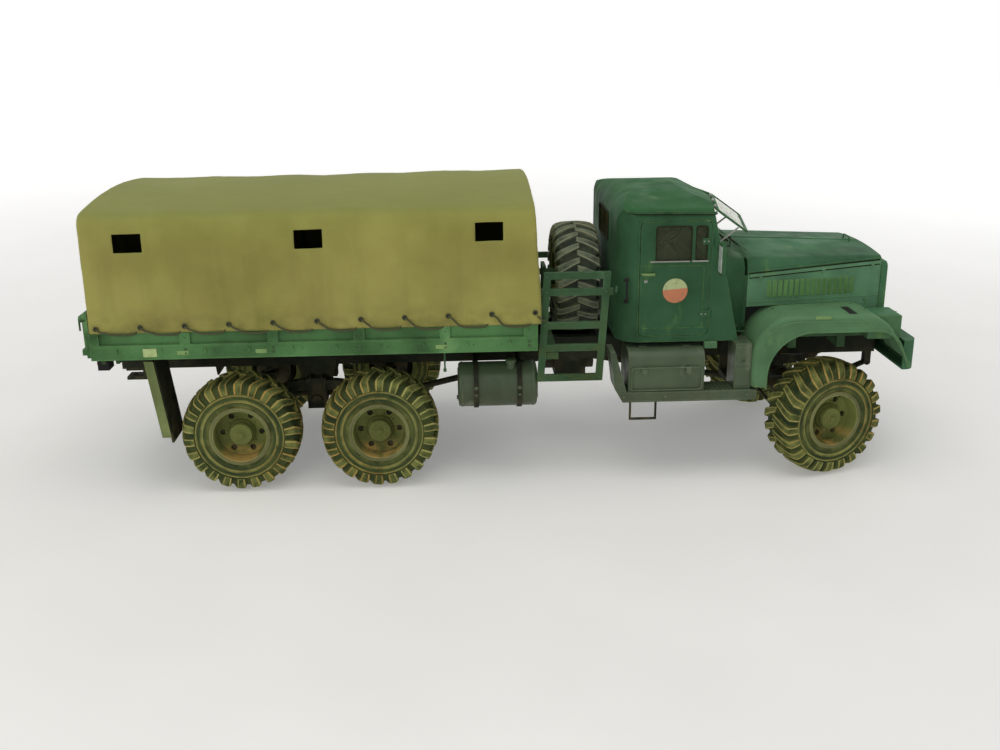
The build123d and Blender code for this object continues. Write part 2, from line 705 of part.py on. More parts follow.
LAMP_BOX_X = (FRONT_X + 40, FRONT_X + 74)
LAMP_BOX_Y = (FENDER_INNER + 2, 114.0)
LAMP_BOX_Z = (141.3, 165.0)
APRON_BOTTOM = 135.0
BRACKETS_X = (FRONT_X - 26, FRONT_X + 26)
for name, side in SIDES:
    with BuildPart() as fender:
        with BuildSketch(Plane.XZ.offset(-side * FENDER_OUTER)):
            add(fender_outline(0))
        extrude(amount=side * (FENDER_OUTER - FENDER_INNER))
        crown = fender.edges().filter_by(
            lambda e: abs(abs(e.center().Y) - FENDER_OUTER) < 0.01 and e.center().Z > 112
        )
        fillet(crown, 6)
        with BuildSketch(Plane.XZ.offset(-side * (FENDER_OUTER - SHEET))):
            add(fender_outline(SHEET))
        extrude(amount=side * (FENDER_OUTER - FENDER_INNER), mode=Mode.SUBTRACT)
        with BuildSketch(Plane.XZ.offset(-side * (FENDER_OUTER + 1))):
            add(bent_outline(ARCH_FOOT, ARCH_TIP, ARCH_CROWN, ARCH_SHOULDER_X, 46, 28))
        extrude(amount=side * (FENDER_OUTER - FENDER_INNER + 2), mode=Mode.SUBTRACT)
        with BuildSketch(Plane.XZ.offset(-side * (FENDER_INNER + SHEET))):
            add(fender_outline(0))
            with Locations((FRONT_X, APRON_BOTTOM - 50)):
                Rectangle(2 * FRONT_OVERHANG, 100, mode=Mode.SUBTRACT)
        extrude(amount=side * SHEET)
        block(LAMP_BOX_X, (side * LAMP_BOX_Y[0], side * LAMP_BOX_Y[1]), LAMP_BOX_Z)
        block(
            (NOSE_X - BUMPER_DEPTH - 1, NOSE_X),
            (side * (FENDER_INNER - 1), side * (BUMPER_HALF + 1)),
            (FENDER_FOOT[1] - 10, BUMPER_Z[1] + FIT),
            mode=Mode.SUBTRACT,
        )
        block(
            (LAMP_BOX_X[1] - 14, NOSE_X),
            (side * (FENDER_INNER - 1), side * (FENDER_OUTER + 1)),
            (FENDER_FOOT[1] - 20, FENDER_TIP[1]),
            mode=Mode.SUBTRACT,
        )
        for x in BRACKETS_X:
            block(
                (x - 4, x + 4),
                (side * (RAIL_OUTER + FIT), side * (FENDER_INNER + SHEET)),
                (RAIL_TOP - 8, RAIL_TOP + 12),
            )
    save(fender, f"fender_{name}")

# Cab shell: lower body, cowl that tapers to the hood, and a roofed upper body with a veed front
SCREEN_BASE_Z = COWL_REAR_TOP
SCREEN_SIDE_X = FRONT_X - 115
SCREEN_MIDDLE_X = FRONT_X - 95
SCREEN_RAKE = 9.0
SCREEN_HEIGHT = 40.0
REAR_CORNER = 24.0
ROOF_EDGE = 14.0


def screen_plane(side, inset):
    """The flat of one half of the veed windscreen. Its X runs along the pane, its Z forward."""
    middle = Vector(SCREEN_MIDDLE_X - inset, 0, SCREEN_BASE_Z)
    outer = Vector(SCREEN_SIDE_X - inset, side * CAB_HALF, SCREEN_BASE_Z)
    rake = Vector(-SCREEN_RAKE, 0, SCREEN_HEIGHT)
    along = (outer - middle) * side
    return Plane(origin=middle, x_dir=along, z_dir=along.cross(rake))


def cab_form(inset):
    """The cab's solid body, drawn in from its outer skin by inset."""
    half = CAB_HALF - inset
    with BuildPart() as upper:
        with BuildSketch(Plane.XY.offset(CAB_BOTTOM + inset)):
            with BuildLine():
                Polyline(
                    (CAB_REAR_X + inset, -half),
                    (FRONT_X - 90, -half),
                    (FRONT_X - 90, half),
                    (CAB_REAR_X + inset, half),
                    close=True,
                )
            make_face()
            fillet([v for v in vertices() if v.X < CAB_REAR_X + inset + 1], REAR_CORNER - inset)
        extrude(amount=ROOF_TOP - CAB_BOTTOM - inset)
        with BuildSketch(Plane.YZ):
            with BuildLine():
                Line((-CAB_HALF + inset, CAB_EAVE - inset), (-CAB_HALF + inset, 100))
                Line((-CAB_HALF + inset, 100), (half, 100))
                Line((half, 100), (half, CAB_EAVE - inset))
                ThreePointArc(
                    (half, CAB_EAVE - inset), (0, ROOF_TOP - inset), (-half, CAB_EAVE - inset)
                )
            make_face()
            fillet([v for v in vertices() if v.Y > 200], ROOF_EDGE - inset)
        extrude(amount=LENGTH, both=True, mode=Mode.INTERSECT)
        with BuildSketch(Plane.XZ):
            with BuildLine():
                Polyline(
                    (CAB_REAR_X + inset, 100),
                    (CAB_REAR_X + inset, ROOF_TOP - 4 - inset),
                    (FRONT_X - 150, ROOF_TOP + 1 - inset),
                    (FRONT_X - 90, ROOF_TOP - 20 - inset),
                    (FRONT_X - 90, 100),
                    close=True,
                )
            make_face()
            fillet([v for v in vertices() if v.Y > 200 and v.X < CAB_REAR_X + 9], 24 - inset)
        extrude(amount=CAB_WIDTH, both=True, mode=Mode.INTERSECT)
        for name, side in SIDES:
            split(bisect_by=screen_plane(side, inset), keep=Keep.BOTTOM)
    with BuildPart() as cowl:
        rear = hood_section(
            COWL_START_X - inset,
            half,
            CAB_BOTTOM + inset,
            COWL_REAR_TOP - 10 - inset,
            COWL_REAR_TOP - inset,
            14 - inset,
        )
        front = hood_section(
            COWL_END_X - inset,
            COWL_WIDTH / 2 - inset,
            CAB_BOTTOM + 4 + inset,
            COWL_FRONT_TOP - HOOD_CROWN - inset,
            COWL_FRONT_TOP - inset,
            13 - inset,
        )
        loft([rear, front], ruled=True)
    return upper.part + cowl.part


DOOR_X = (FRONT_X - DOOR_FRONT - DOOR_LENGTH, FRONT_X - DOOR_FRONT)
DOOR_MIDDLE_X = sum(DOOR_X) / 2
DOOR_MIDDLE_Z = DOOR_BOTTOM + DOOR_HEIGHT / 2
DOOR_CORNER = 5.0
DOOR_PLAY = 0.5
# Pane centre's distance behind the front axle, width
DOOR_PANES = ((163.0, 35.0), (135.5, 11.0))
PANE_Z = 244.0
PANE_HEIGHT = 34.0
REAR_WINDOW = (70.0, 30.0)
SCREEN_PANE = (98.0, 33.0)
SCREEN_PANE_Y = 54.5


with BuildPart() as cab_shell:
    add(cab_form(0))
    add(cab_form(CAB_WALL), mode=Mode.SUBTRACT)
    with BuildSketch(Plane.XZ):
        with Locations((DOOR_MIDDLE_X, DOOR_MIDDLE_Z)):
            RectangleRounded(
                DOOR_LENGTH + 2 * DOOR_PLAY, DOOR_HEIGHT + 2 * DOOR_PLAY, DOOR_CORNER
            )
    extrude(amount=CAB_WIDTH, both=True, mode=Mode.SUBTRACT)
    with BuildSketch(Plane.YZ.offset(CAB_REAR_X - 1)):
        with Locations((0, PANE_Z + 4)):
            RectangleRounded(REAR_WINDOW[0], REAR_WINDOW[1], 4)
    extrude(amount=CAB_WALL + 2, mode=Mode.SUBTRACT)
    for name, side in SIDES:
        pane_plane = screen_plane(side, 0)
        up = 1 if pane_plane.y_dir.Z > 0 else -1
        with BuildSketch(pane_plane):
            with Locations((side * SCREEN_PANE_Y, up * (SCREEN_HEIGHT / 2 + 1))):
                RectangleRounded(SCREEN_PANE[0], SCREEN_PANE[1], 3)
        extrude(amount=CAB_WALL * 2, both=True, mode=Mode.SUBTRACT)
save(cab_shell, "cab_shell")

# Doors, hinged at their front edges, each with two panes
HINGE_X = FRONT_X - DOOR_FRONT + 0.5
HINGE_RADIUS = 1.5
HINGE_Y = CAB_HALF + HINGE_RADIUS + FIT
HINGE_LEVELS = (172.0, 246.0)
HANDLE_Z = 213.0
GLASS = 1.0
CLOSE_FIT = 0.1
for name, side in SIDES:
    with BuildPart() as door:
        with BuildSketch(Plane.XZ.offset(-side * CAB_HALF)):
            with Locations((DOOR_MIDDLE_X, DOOR_MIDDLE_Z)):
                RectangleRounded(DOOR_LENGTH, DOOR_HEIGHT, DOOR_CORNER)
            for back, width in DOOR_PANES:
                with Locations((FRONT_X - back, PANE_Z)):
                    RectangleRounded(width, PANE_HEIGHT, 2, mode=Mode.SUBTRACT)
        extrude(amount=side * CAB_WALL)
        for level in HINGE_LEVELS:
            with Locations((HINGE_X, side * HINGE_Y, level)):
                Cylinder(HINGE_RADIUS, 9)
            block(
                (HINGE_X - 9, HINGE_X),
                (side * CAB_HALF, side * (CAB_HALF + HINGE_RADIUS)),
                (level - 3, level + 3),
            )
        block(
            (DOOR_X[0] + 4, DOOR_X[0] + 14),
            (side * (CAB_HALF + 2), side * (CAB_HALF + 4)),
            (HANDLE_Z - 1.5, HANDLE_Z + 1.5),
        )
        block(
            (DOOR_X[0] + 10, DOOR_X[0] + 14),
            (side * CAB_HALF, side * (CAB_HALF + 3)),
            (HANDLE_Z - 1.5, HANDLE_Z + 1.5),
        )
    save(door, f"door_{name}")
    with BuildPart() as door_glass:
        with BuildSketch(Plane.XZ.offset(-side * (CAB_HALF - GLASS))):
            for back, width in DOOR_PANES:
                with Locations((FRONT_X - back, PANE_Z)):
                    RectangleRounded(width - 2 * CLOSE_FIT, PANE_HEIGHT - 2 * CLOSE_FIT, 1.8)
        extrude(amount=side * GLASS)
    save(door_glass, f"door_{name}_glass")

# Windscreen: the left pane closed, the right one swung out from its top edge, as the model stands
SCREEN_FRAME = (104.0, 40.0)
SCREEN_FRAME_THICK = 2.0
SCREEN_OPEN = 42.0
SCREEN_CENTRE = SCREEN_HEIGHT / 2 + 0.5


def screen_frame_plane(side):
    """The middle of a windscreen pane's frame, closed on the left and swung out on the right."""
    flat = screen_plane(side, 0)
    up = flat.y_dir * (1 if flat.y_dir.Z > 0 else -1)
    top = flat.origin + flat.x_dir * (side * SCREEN_PANE_Y)
    top += up * (SCREEN_CENTRE + SCREEN_FRAME[1] / 2) + flat.z_dir * (FIT + SCREEN_FRAME_THICK / 2)
    swing = radians(SCREEN_OPEN if side < 0 else 0)
    down = up * -cos(swing) + flat.z_dir * sin(swing)
    normal = flat.x_dir.cross(down)
    return Plane(origin=top + down * (SCREEN_FRAME[1] / 2), x_dir=flat.x_dir, z_dir=normal)


with BuildPart() as windscreen_frames:
    for name, side in SIDES:
        with BuildSketch(screen_frame_plane(side)):
            RectangleRounded(SCREEN_FRAME[0], SCREEN_FRAME[1], 4)
            RectangleRounded(SCREEN_FRAME[0] - 8, SCREEN_FRAME[1] - 8, 2, mode=Mode.SUBTRACT)
        extrude(amount=SCREEN_FRAME_THICK / 2, both=True)
save(windscreen_frames, "windscreen_frames")

with BuildPart() as cab_glass:
    for name, side in SIDES:
        with BuildSketch(screen_frame_plane(side)):
            RectangleRounded(
                SCREEN_FRAME[0] - 8 - 2 * CLOSE_FIT, SCREEN_FRAME[1] - 8 - 2 * CLOSE_FIT, 1.9
            )
        extrude(amount=GLASS / 2, both=True)
    with BuildSketch(Plane.YZ.offset(CAB_REAR_X + GLASS)):
        with Locations((0, PANE_Z + 4)):
            RectangleRounded(REAR_WINDOW[0] - 2 * CLOSE_FIT, REAR_WINDOW[1] - 2 * CLOSE_FIT, 3.9)
    extrude(amount=GLASS)
save(cab_glass, "cab_glass")

# Rear-view mirrors on short arms from the cab's front corners
MIRROR_X = FRONT_X - 119
MIRROR_Z = (214.0, 246.0)
with BuildPart() as mirrors:
    for name, side in SIDES:
        with BuildSketch(Plane.YZ.offset(MIRROR_X)):
            with Locations((side * (CAB_HALF + 12), sum(MIRROR_Z) / 2)):
                RectangleRounded(16, MIRROR_Z[1] - MIRROR_Z[0], 3)
        extrude(amount=3)
        with Locations((MIRROR_X + 1.5, side * (CAB_HALF + 3), MIRROR_Z[1] - 8)):
            Cylinder(1.2, 6 - 2 * FIT, rotation=(90, 0, 0))
save(mirrors, "mirrors")

# Bench seat, dashboard and steering wheel
FLOOR_Z = CAB_BOTTOM + CAB_WALL
SEAT_SIDE_GAP = 17.0
SEAT_HALF = CAB_HALF - SEAT_SIDE_GAP
SEAT_X = (CAB_REAR_X + 14, CAB_REAR_X + 58)
SEAT_TOP = 176.0
with BuildPart() as seat_frame:
    block(SEAT_X, (-SEAT_HALF, SEAT_HALF), (SEAT_TOP - 4, SEAT_TOP))
    for x in (SEAT_X[0] + 4, SEAT_X[1] - 4):
        for y in (-SEAT_HALF + 6, 0, SEAT_HALF - 6):
            block((x - 3, x + 3), (y - 3, y + 3), (FLOOR_Z, SEAT_TOP - 4 - FIT))
    block(
        (CAB_REAR_X + CAB_WALL + 2, SEAT_X[0] + 3),
        (-SEAT_HALF + 20, SEAT_HALF - 20),
        (SEAT_TOP - 4, 224),
    )
save(seat_frame, "seat_frame")
with BuildPart() as seat_cushion:
    block((SEAT_X[0] + 13, SEAT_X[1] + 2), (-SEAT_HALF, SEAT_HALF), (SEAT_TOP + FIT, SEAT_TOP + 12))
    fillet(seat_cushion.edges(), 3)
save(seat_cushion, "seat_cushion")
with BuildPart() as seat_backrest:
    block(
        (SEAT_X[0] + 3 + FIT, SEAT_X[0] + 12),
        (-SEAT_HALF + 16, SEAT_HALF - 16),
        (SEAT_TOP + FIT, 232),
    )
    fillet(seat_backrest.edges(), 3)
save(seat_backrest, "seat_backrest")
DASH_X = (FRONT_X - 124, FRONT_X - 108)
DASH_Z = (196.0, 213.0, 225.0)
with BuildPart() as dashboard:
    half = CAB_HALF - 12
    block(DASH_X, (-half, half), DASH_Z[:2])
    half = CAB_HALF - 35
    block((DASH_X[0] + 2, DASH_X[1]), (-half, half), (DASH_Z[0], DASH_Z[2]))
save(dashboard, "dashboard")
WHEEL_RADIUS = 19.0
COLUMN_TILT = 50.0
COLUMN_LENGTH = 18.9
with BuildPart() as steering_wheel:
    hub_plane = Plane(
        origin=(DASH_X[0] - 14, 52, 218),
        x_dir=(0, 1, 0),
        z_dir=(-cos(radians(COLUMN_TILT)), 0, sin(radians(COLUMN_TILT))),
    )
    with Locations(hub_plane):
        Torus(WHEEL_RADIUS, 1.6)
        Cylinder(4, 4)
        with PolarLocations(WHEEL_RADIUS / 2, 3):
            Box(WHEEL_RADIUS, 2.4, 1.6)
    with Locations(hub_plane.offset(-COLUMN_LENGTH / 2)):
        Cylinder(2, COLUMN_LENGTH)
save(steering_wheel, "steering_wheel")

# Running boards under the cab, each with a raised rear end, a wire step and arms to the frame
BOARD_X = (FRONT_X - 217, FRONT_X - 76)
BOARD_Y = (100.0, 131.0)
BOARD_Z = (85.0, 95.0)
BOARD_ARMS = (40.0, 126.0)
STEP_X = (FRONT_X - 205, FRONT_X - 179)
STEP_Z = 68.0
with BuildPart() as running_boards:
    for name, side in SIDES:
        with BuildSketch(Plane.XZ.offset(-side * BOARD_Y[1])):
            with BuildLine():
                Polyline(
                    (BOARD_X[1], BOARD_Z[0]),
                    (BOARD_X[0] + 4, BOARD_Z[0]),
                    (BOARD_X[0] - 4, BOARD_Z[0] + 14),
                    (BOARD_X[0] - 9, 138),
                    (BOARD_X[0] - 4, 138),
                    (BOARD_X[0] + 8, BOARD_Z[1]),
                    (BOARD_X[1], BOARD_Z[1]),
                    close=True,
                )
            make_face()
        extrude(amount=side * (BOARD_Y[1] - BOARD_Y[0]))
        block(
            (BOARD_X[0] + 8, BOARD_X[1] + 1),
            (side * (BOARD_Y[0] - 1), side * (BOARD_Y[1] - SHEET)),
            (BOARD_Z[0] - 1, BOARD_Z[1] - SHEET),
            mode=Mode.SUBTRACT,
        )
save(running_boards, "running_boards")
with BuildPart() as board_brackets:
    for name, side in SIDES:
        for forward in BOARD_ARMS:
            x = BOARD_X[0] + forward
            block(
                (x - 4, x + 4),
                (side * RAIL_OUTER, side * (BOARD_Y[1] - SHEET)),
                (BOARD_Z[1] - 8, BOARD_Z[1] - SHEET),
            )
            block(
                (x - 4, x + 4),
                (side * RAIL_OUTER, side * (RAIL_OUTER + 4)),
                (BOARD_Z[1] - SHEET + FIT, RAIL_TOP - 6),
            )
        step_y = (side * (BOARD_Y[1] - SHEET), side * BOARD_Y[1])
        for x in STEP_X:
            block((x - 1, x + 1), step_y, (STEP_Z + FIT, BOARD_Z[0]))
        block((STEP_X[0] - 1, STEP_X[1] + 1), step_y, (STEP_Z - 2, STEP_Z))
save(board_brackets, "board_brackets")

# Boxes on the running boards: a round-topped one under the door and an upright one at the cowl
BOX_X = (FRONT_X - 207, FRONT_X - 130)
BOX_TOP = 138.0
UPRIGHT_X = (FRONT_X - 99, FRONT_X + FENDER_FOOT[0] - FIT)
with BuildPart() as side_boxes:
    for name, side in SIDES:
        with BuildSketch(Plane.YZ.offset(BOX_X[0])):
            with Locations((side * (BOARD_Y[1] + BOARD_Y[0] - 24) / 2, (BOX_TOP + BOARD_Z[1]) / 2)):
                Rectangle(BOARD_Y[1] - BOARD_Y[0] + 20, BOX_TOP - BOARD_Z[1])
            fillet(vertices().group_by(Axis.Y)[-1], 14)
        extrude(amount=BOX_X[1] - BOX_X[0])
        block(
            UPRIGHT_X,
            (side * (BOARD_Y[0] - 2), side * (BOARD_Y[1] - 3)),
            (BOARD_Z[1], CAB_BOTTOM),
        )
save(side_boxes, "side_boxes")

# Fuel tanks on each side, held by straps to brackets on the frame
TANK_X = (FRONT_X - 379, FRONT_X - 299)
TANK_RADIUS = 23.0
TANK_Y = 104.0
TANK_Z = 100.0
STRAP_WIDTH = 5.0
STRAPS_X = (TANK_X[0] + 18, TANK_X[1] - 18)
with BuildPart() as fuel_tanks:
    for name, side in SIDES:
        with Locations(((TANK_X[0] + TANK_X[1]) / 2, side * TANK_Y, TANK_Z)):
            Cylinder(TANK_RADIUS, TANK_X[1] - TANK_X[0], rotation=(0, 90, 0))
    fillet(fuel_tanks.edges().filter_by(GeomType.CIRCLE), 3)
    for name, side in SIDES:
        with Locations((TANK_X[1] - 26, side * (TANK_Y + 8), TANK_Z + TANK_RADIUS - 1)):
            Cylinder(5, 8)
save(fuel_tanks, "fuel_tanks")
with BuildPart() as tank_straps:
    for name, side in SIDES:
        for x in STRAPS_X:
            with BuildSketch(Plane.YZ.offset(x - STRAP_WIDTH / 2)):
                with Locations((side * TANK_Y, TANK_Z)):
                    Circle(TANK_RADIUS + 1.5)
                with Locations((side * (TANK_Y + RAIL_OUTER) / 2, TANK_Z + 4)):
                    Rectangle(TANK_Y - RAIL_OUTER, 36)
                with Locations((side * TANK_Y, TANK_Z)):
                    Circle(TANK_RADIUS + CLOSE_FIT, mode=Mode.SUBTRACT)
            extrude(amount=STRAP_WIDTH)
save(tank_straps, "tank_straps")

# Spare wheel carrier: a beam on the rails, a mast with a boss in the wheel, and a ladder each side
LADDER_Y = 125.0
LADDER_X = (FRONT_X - 289, FRONT_X - 230)
LADDER_TOP = 220.0
LADDER_FOOT = 108.0
LADDER_LEAN = 7.0
LADDER_TUBE = 4.0
LADDER_BAR = 7.0
# Rung height, how far it stands past the ladder's posts
LOW_RUNGS = ((111.5, 0.0), (143.0, 0.0), (166.0, 0.0))
HIGH_RUNGS = ((200.0, 7.0), (216.5, 0.0))
# Side, ladder's top, rungs
LADDERS = ((-1, LADDER_TOP, LOW_RUNGS + HIGH_RUNGS), (1, 190.0, LOW_RUNGS + ((186.5, 0.0),)))
MAST_X = SPARE_X - RIM_EDGE - 10
with BuildPart() as spare_carrier:
    block(
        (MAST_X - 4, MAST_X + 4), (-LADDER_Y, LADDER_Y), (RAIL_TOP, RAIL_TOP + 7)
    )
    block((MAST_X - 3, MAST_X + 1), (-14, 14), (RAIL_TOP, SPARE_Z + 14))
    with Locations(((MAST_X + SPARE_X - HUB_DEPTH - FIT) / 2, 0, SPARE_Z)):
        Cylinder(9, SPARE_X - HUB_DEPTH - FIT - MAST_X, rotation=(0, 90, 0))
    with Locations((SPARE_X - HUB_DEPTH + 8, 0, SPARE_Z)):
        Cylinder(SPINDLE_RADIUS, 24, rotation=(0, 90, 0))
    for side, top, rungs in LADDERS:
        with BuildSketch(Plane.XZ.offset(-side * LADDER_Y)):
            lean_top = LADDER_LEAN * (LADDER_TOP - top) / (LADDER_TOP - LADDER_FOOT)
            for x in LADDER_X:
                with BuildLine() as post:
                    Polyline(
                        (x - LADDER_BAR / 2 - lean_top, top),
                        (x + LADDER_BAR / 2 - lean_top, top),
                        (x + LADDER_BAR / 2 - LADDER_LEAN, LADDER_FOOT),
                        (x - LADDER_BAR / 2 - LADDER_LEAN, LADDER_FOOT),
                        close=True,
                    )
                make_face(post.edges())
            for z, overhang in rungs:
                lean = LADDER_LEAN * (LADDER_TOP - z) / (LADDER_TOP - LADDER_FOOT)
                with Locations((sum(LADDER_X) / 2 - lean, z)):
                    Rectangle(LADDER_X[1] - LADDER_X[0] + 2 * overhang, LADDER_BAR)
        extrude(amount=LADDER_TUBE / 2, both=True)
        block(
            (LADDER_X[0] - LADDER_LEAN + 1, MAST_X + 4),
            (side * (LADDER_Y - LADDER_TUBE), side * LADDER_Y),
            (RAIL_TOP, RAIL_TOP + 7),
        )
save(spare_carrier, "spare_carrier")

# Cargo bed: runners on the rails, bearers, floor, side boards and a front board
BED_HALF = BED_WIDTH / 2
BOARD_HALF = BED_HALF - 2.7
FLOOR_TOP = BED_BOTTOM + BED_FLOOR
RAIL_STRIP_TOP = 158.5
# Places of the outer straps and the bearers, ahead of the bed's rear edge
STRAPS_AHEAD = (92.0, 177.0, 261.0, 345.0, 428.0)
BEARERS_AHEAD = (19.0,) + STRAPS_AHEAD
RUNNER = 10.0
BEARER_HALF = 112.0
with BuildPart() as cargo_bed:
    block((BED_REAR_X, BED_FRONT_X), (-BOARD_HALF, BOARD_HALF), (BED_BOTTOM, FLOOR_TOP))
    block(
        (BED_FRONT_X - BOARD, BED_FRONT_X), (-BOARD_HALF, BOARD_HALF), (BED_BOTTOM, BOARD_TOP)
    )
    for name, side in SIDES:
        block(
            (BED_REAR_X + CLOTH + FIT, BED_FRONT_X),
            (side * (BOARD_HALF - BOARD), side * BOARD_HALF),
            (BED_BOTTOM, BOARD_TOP),
        )
        block(
            (BED_REAR_X, BED_FRONT_X),
            (side * (BOARD_HALF - BOARD), side * BED_HALF),
            (BED_BOTTOM, RAIL_STRIP_TOP),
        )
        for ahead in STRAPS_AHEAD:
            x = BED_REAR_X + ahead
            block(
                (x - 5, x + 5),
                (side * (BOARD_HALF - BOARD), side * BED_HALF),
                (BED_BOTTOM, SILL_TOP),
            )
        for x in (BED_REAR_X + 4, BED_FRONT_X - 5):
            block(
                (x - 4, x + 5),
                (side * (BOARD_HALF - BOARD), side * BED_HALF),
                (BED_BOTTOM, SILL_TOP),
            )
save(cargo_bed, "cargo_bed")
with BuildPart() as bed_bearers:
    inner, outer = RAIL_Y - RUNNER / 2 - FIT, RAIL_Y + RUNNER / 2 + FIT
    for name, side in SIDES:
        block(
            (BED_REAR_X, BED_FRONT_X),
            (side * (RAIL_Y - RUNNER / 2), side * (RAIL_Y + RUNNER / 2)),
            (RAIL_TOP, BED_BOTTOM),
        )
    for ahead in BEARERS_AHEAD:
        x = BED_REAR_X + ahead
        for y in ((-BEARER_HALF, -outer), (-inner, inner), (outer, BEARER_HALF)):
            block((x - 4, x + 4), y, (RAIL_TOP + 5, BED_BOTTOM))
save(bed_bearers, "bed_bearers")

# Tailgate, hinged along its lower edge
GATE_THICK = 4.0
GATE_HINGE_Z = BED_BOTTOM + 2
with BuildPart() as tailgate:
    block(
        (BED_REAR_X - FIT - GATE_THICK, BED_REAR_X - FIT),
        (-BOARD_HALF, BOARD_HALF),
        (GATE_HINGE_Z, BOARD_TOP),
    )
    for z in (GATE_HINGE_Z + 6, BOARD_TOP - 5):
        block(
            (BED_REAR_X - FIT - GATE_THICK - 4, BED_REAR_X - FIT - GATE_THICK),
            (-BOARD_HALF, BOARD_HALF),
            (z - 3, z + 3),
        )
    for y in (-110, -40, 40, 110):
        block(
            (TAIL_X, BED_REAR_X - FIT - GATE_THICK), (y - 5, y + 5), (GATE_HINGE_Z, BOARD_TOP - 8)
        )
save(tailgate, "tailgate")

# Tarpaulin: a hollow cloth cover, open below, with three windows a side
# Window centre's distance ahead of the bed's rear edge, centre height
WINDOWS = ((46.0, 258.0), (217.0, 259.0), (390.0, 263.0))
WINDOW_LENGTH = 27.0
WINDOW_HEIGHT = 18.0
TARP_BOTTOM = SILL_TOP + FIT
EAVE_ROUND = 9.0


def tarp_section(x, crown, inset, bottom):
    """The cover's section across the truck, drawn in by inset."""
    half = BED_HALF - inset
    eave = EAVE_HALF_WIDTH - inset
    top = EAVE_HEIGHT - inset
    with BuildSketch(Plane.YZ.offset(x)) as section:
        with BuildLine() as outline:
            Polyline((-eave, top), (-half, bottom), (half, bottom), (eave, top))
            ThreePointArc((eave, top), (0, crown - inset), (-eave, top))
        make_face(outline.edges())
        fillet(section.vertices().group_by(Axis.Y)[-1], EAVE_ROUND - inset)
    return section.sketch


def tarp_form(inset, bottom):
    """The cover's solid form, drawn in by inset on every side."""
    with BuildPart() as form:
        rear = tarp_section(BED_REAR_X + inset, REAR_CROWN, inset, bottom)
        front = tarp_section(BED_FRONT_X + 2 - inset, FRONT_CROWN, inset, bottom)
        loft([rear, front], ruled=True)
    return form.part


with BuildPart() as tarpaulin:
    add(tarp_form(0, TARP_BOTTOM))
    add(tarp_form(CLOTH, TARP_BOTTOM - 1), mode=Mode.SUBTRACT)
    for ahead, height in WINDOWS:
        with Locations((BED_REAR_X + ahead, 0, height)):
            Box(WINDOW_LENGTH, 2 * BED_WIDTH, WINDOW_HEIGHT, mode=Mode.SUBTRACT)
save(tarpaulin, "tarpaulin")

# Bows that carry the tarpaulin, standing on the side boards
BOW_START_X = BED_REAR_X + CLOTH + FIT
BOW_RUN = BED_LENGTH - CLOTH - 2 * FIT - BOARD - BOW
with BuildPart() as tarp_bows:
    for order in range(BOW_COUNT):
        x = BOW_START_X + BOW_RUN * order / (BOW_COUNT - 1)
        crown = REAR_CROWN + (FRONT_CROWN - REAR_CROWN) * (x - BED_REAR_X) / (BED_LENGTH + 2)
        outer = tarp_section(x, crown, CLOTH + FIT, TARP_BOTTOM)
        inner = tarp_section(x, crown, CLOTH + FIT + BOW, TARP_BOTTOM - 1)
        extrude(outer, amount=BOW)
        extrude(inner, amount=BOW, mode=Mode.SUBTRACT)
    block(
        (BED_REAR_X, BED_FRONT_X), (-BED_HALF, BED_HALF), (0, BOARD_TOP), mode=Mode.SUBTRACT
    )
save(tarp_bows, "tarp_bows")

# Mud flaps behind the rear wheels, hung from the bed
FLAP_TOP_X = REAR_X - 77
FLAP_FOOT_X = REAR_X - 66
FLAP_FOOT_Z = 55.0
FLAP_Y = (90.0, 133.0)
with BuildPart() as mud_flaps:
    for name, side in SIDES:
        with BuildSketch(Plane.XZ.offset(-side * FLAP_Y[0])):
            with BuildLine():
                Polyline(
                    (FLAP_TOP_X, BED_BOTTOM),
                    (FLAP_TOP_X - SHEET, BED_BOTTOM),
                    (FLAP_FOOT_X - SHEET, FLAP_FOOT_Z),
                    (FLAP_FOOT_X, FLAP_FOOT_Z),
                    close=True,
                )
            make_face()
        extrude(amount=-side * (FLAP_Y[1] - FLAP_Y[0]))
save(mud_flaps, "mud_flaps")

# Headlamps in their boxes between the hood and the fenders, and tail lamps under the bed
LAMP_RADIUS = 9.0
with BuildPart() as headlamps:
    for name, side in SIDES:
        y = side * (LAMP_BOX_Y[0] + LAMP_BOX_Y[1]) / 2
        with Locations((LAMP_BOX_X[1] + 1, y, sum(LAMP_BOX_Z) / 2)):
            Cylinder(LAMP_RADIUS, 2, rotation=(0, 90, 0))
save(headlamps, "headlamps")
with BuildPart() as tail_lamps:
    for name, side in SIDES:
        block(
            (BED_REAR_X + 1, BED_REAR_X + 12),
            (side * 108, side * 124),
            (BED_BOTTOM - 14, BED_BOTTOM),
        )
save(tail_lamps, "tail_lamps")
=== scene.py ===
import bpy
import bmesh
import json
import math
import random
from itertools import product
from mathutils import Matrix, Vector, noise


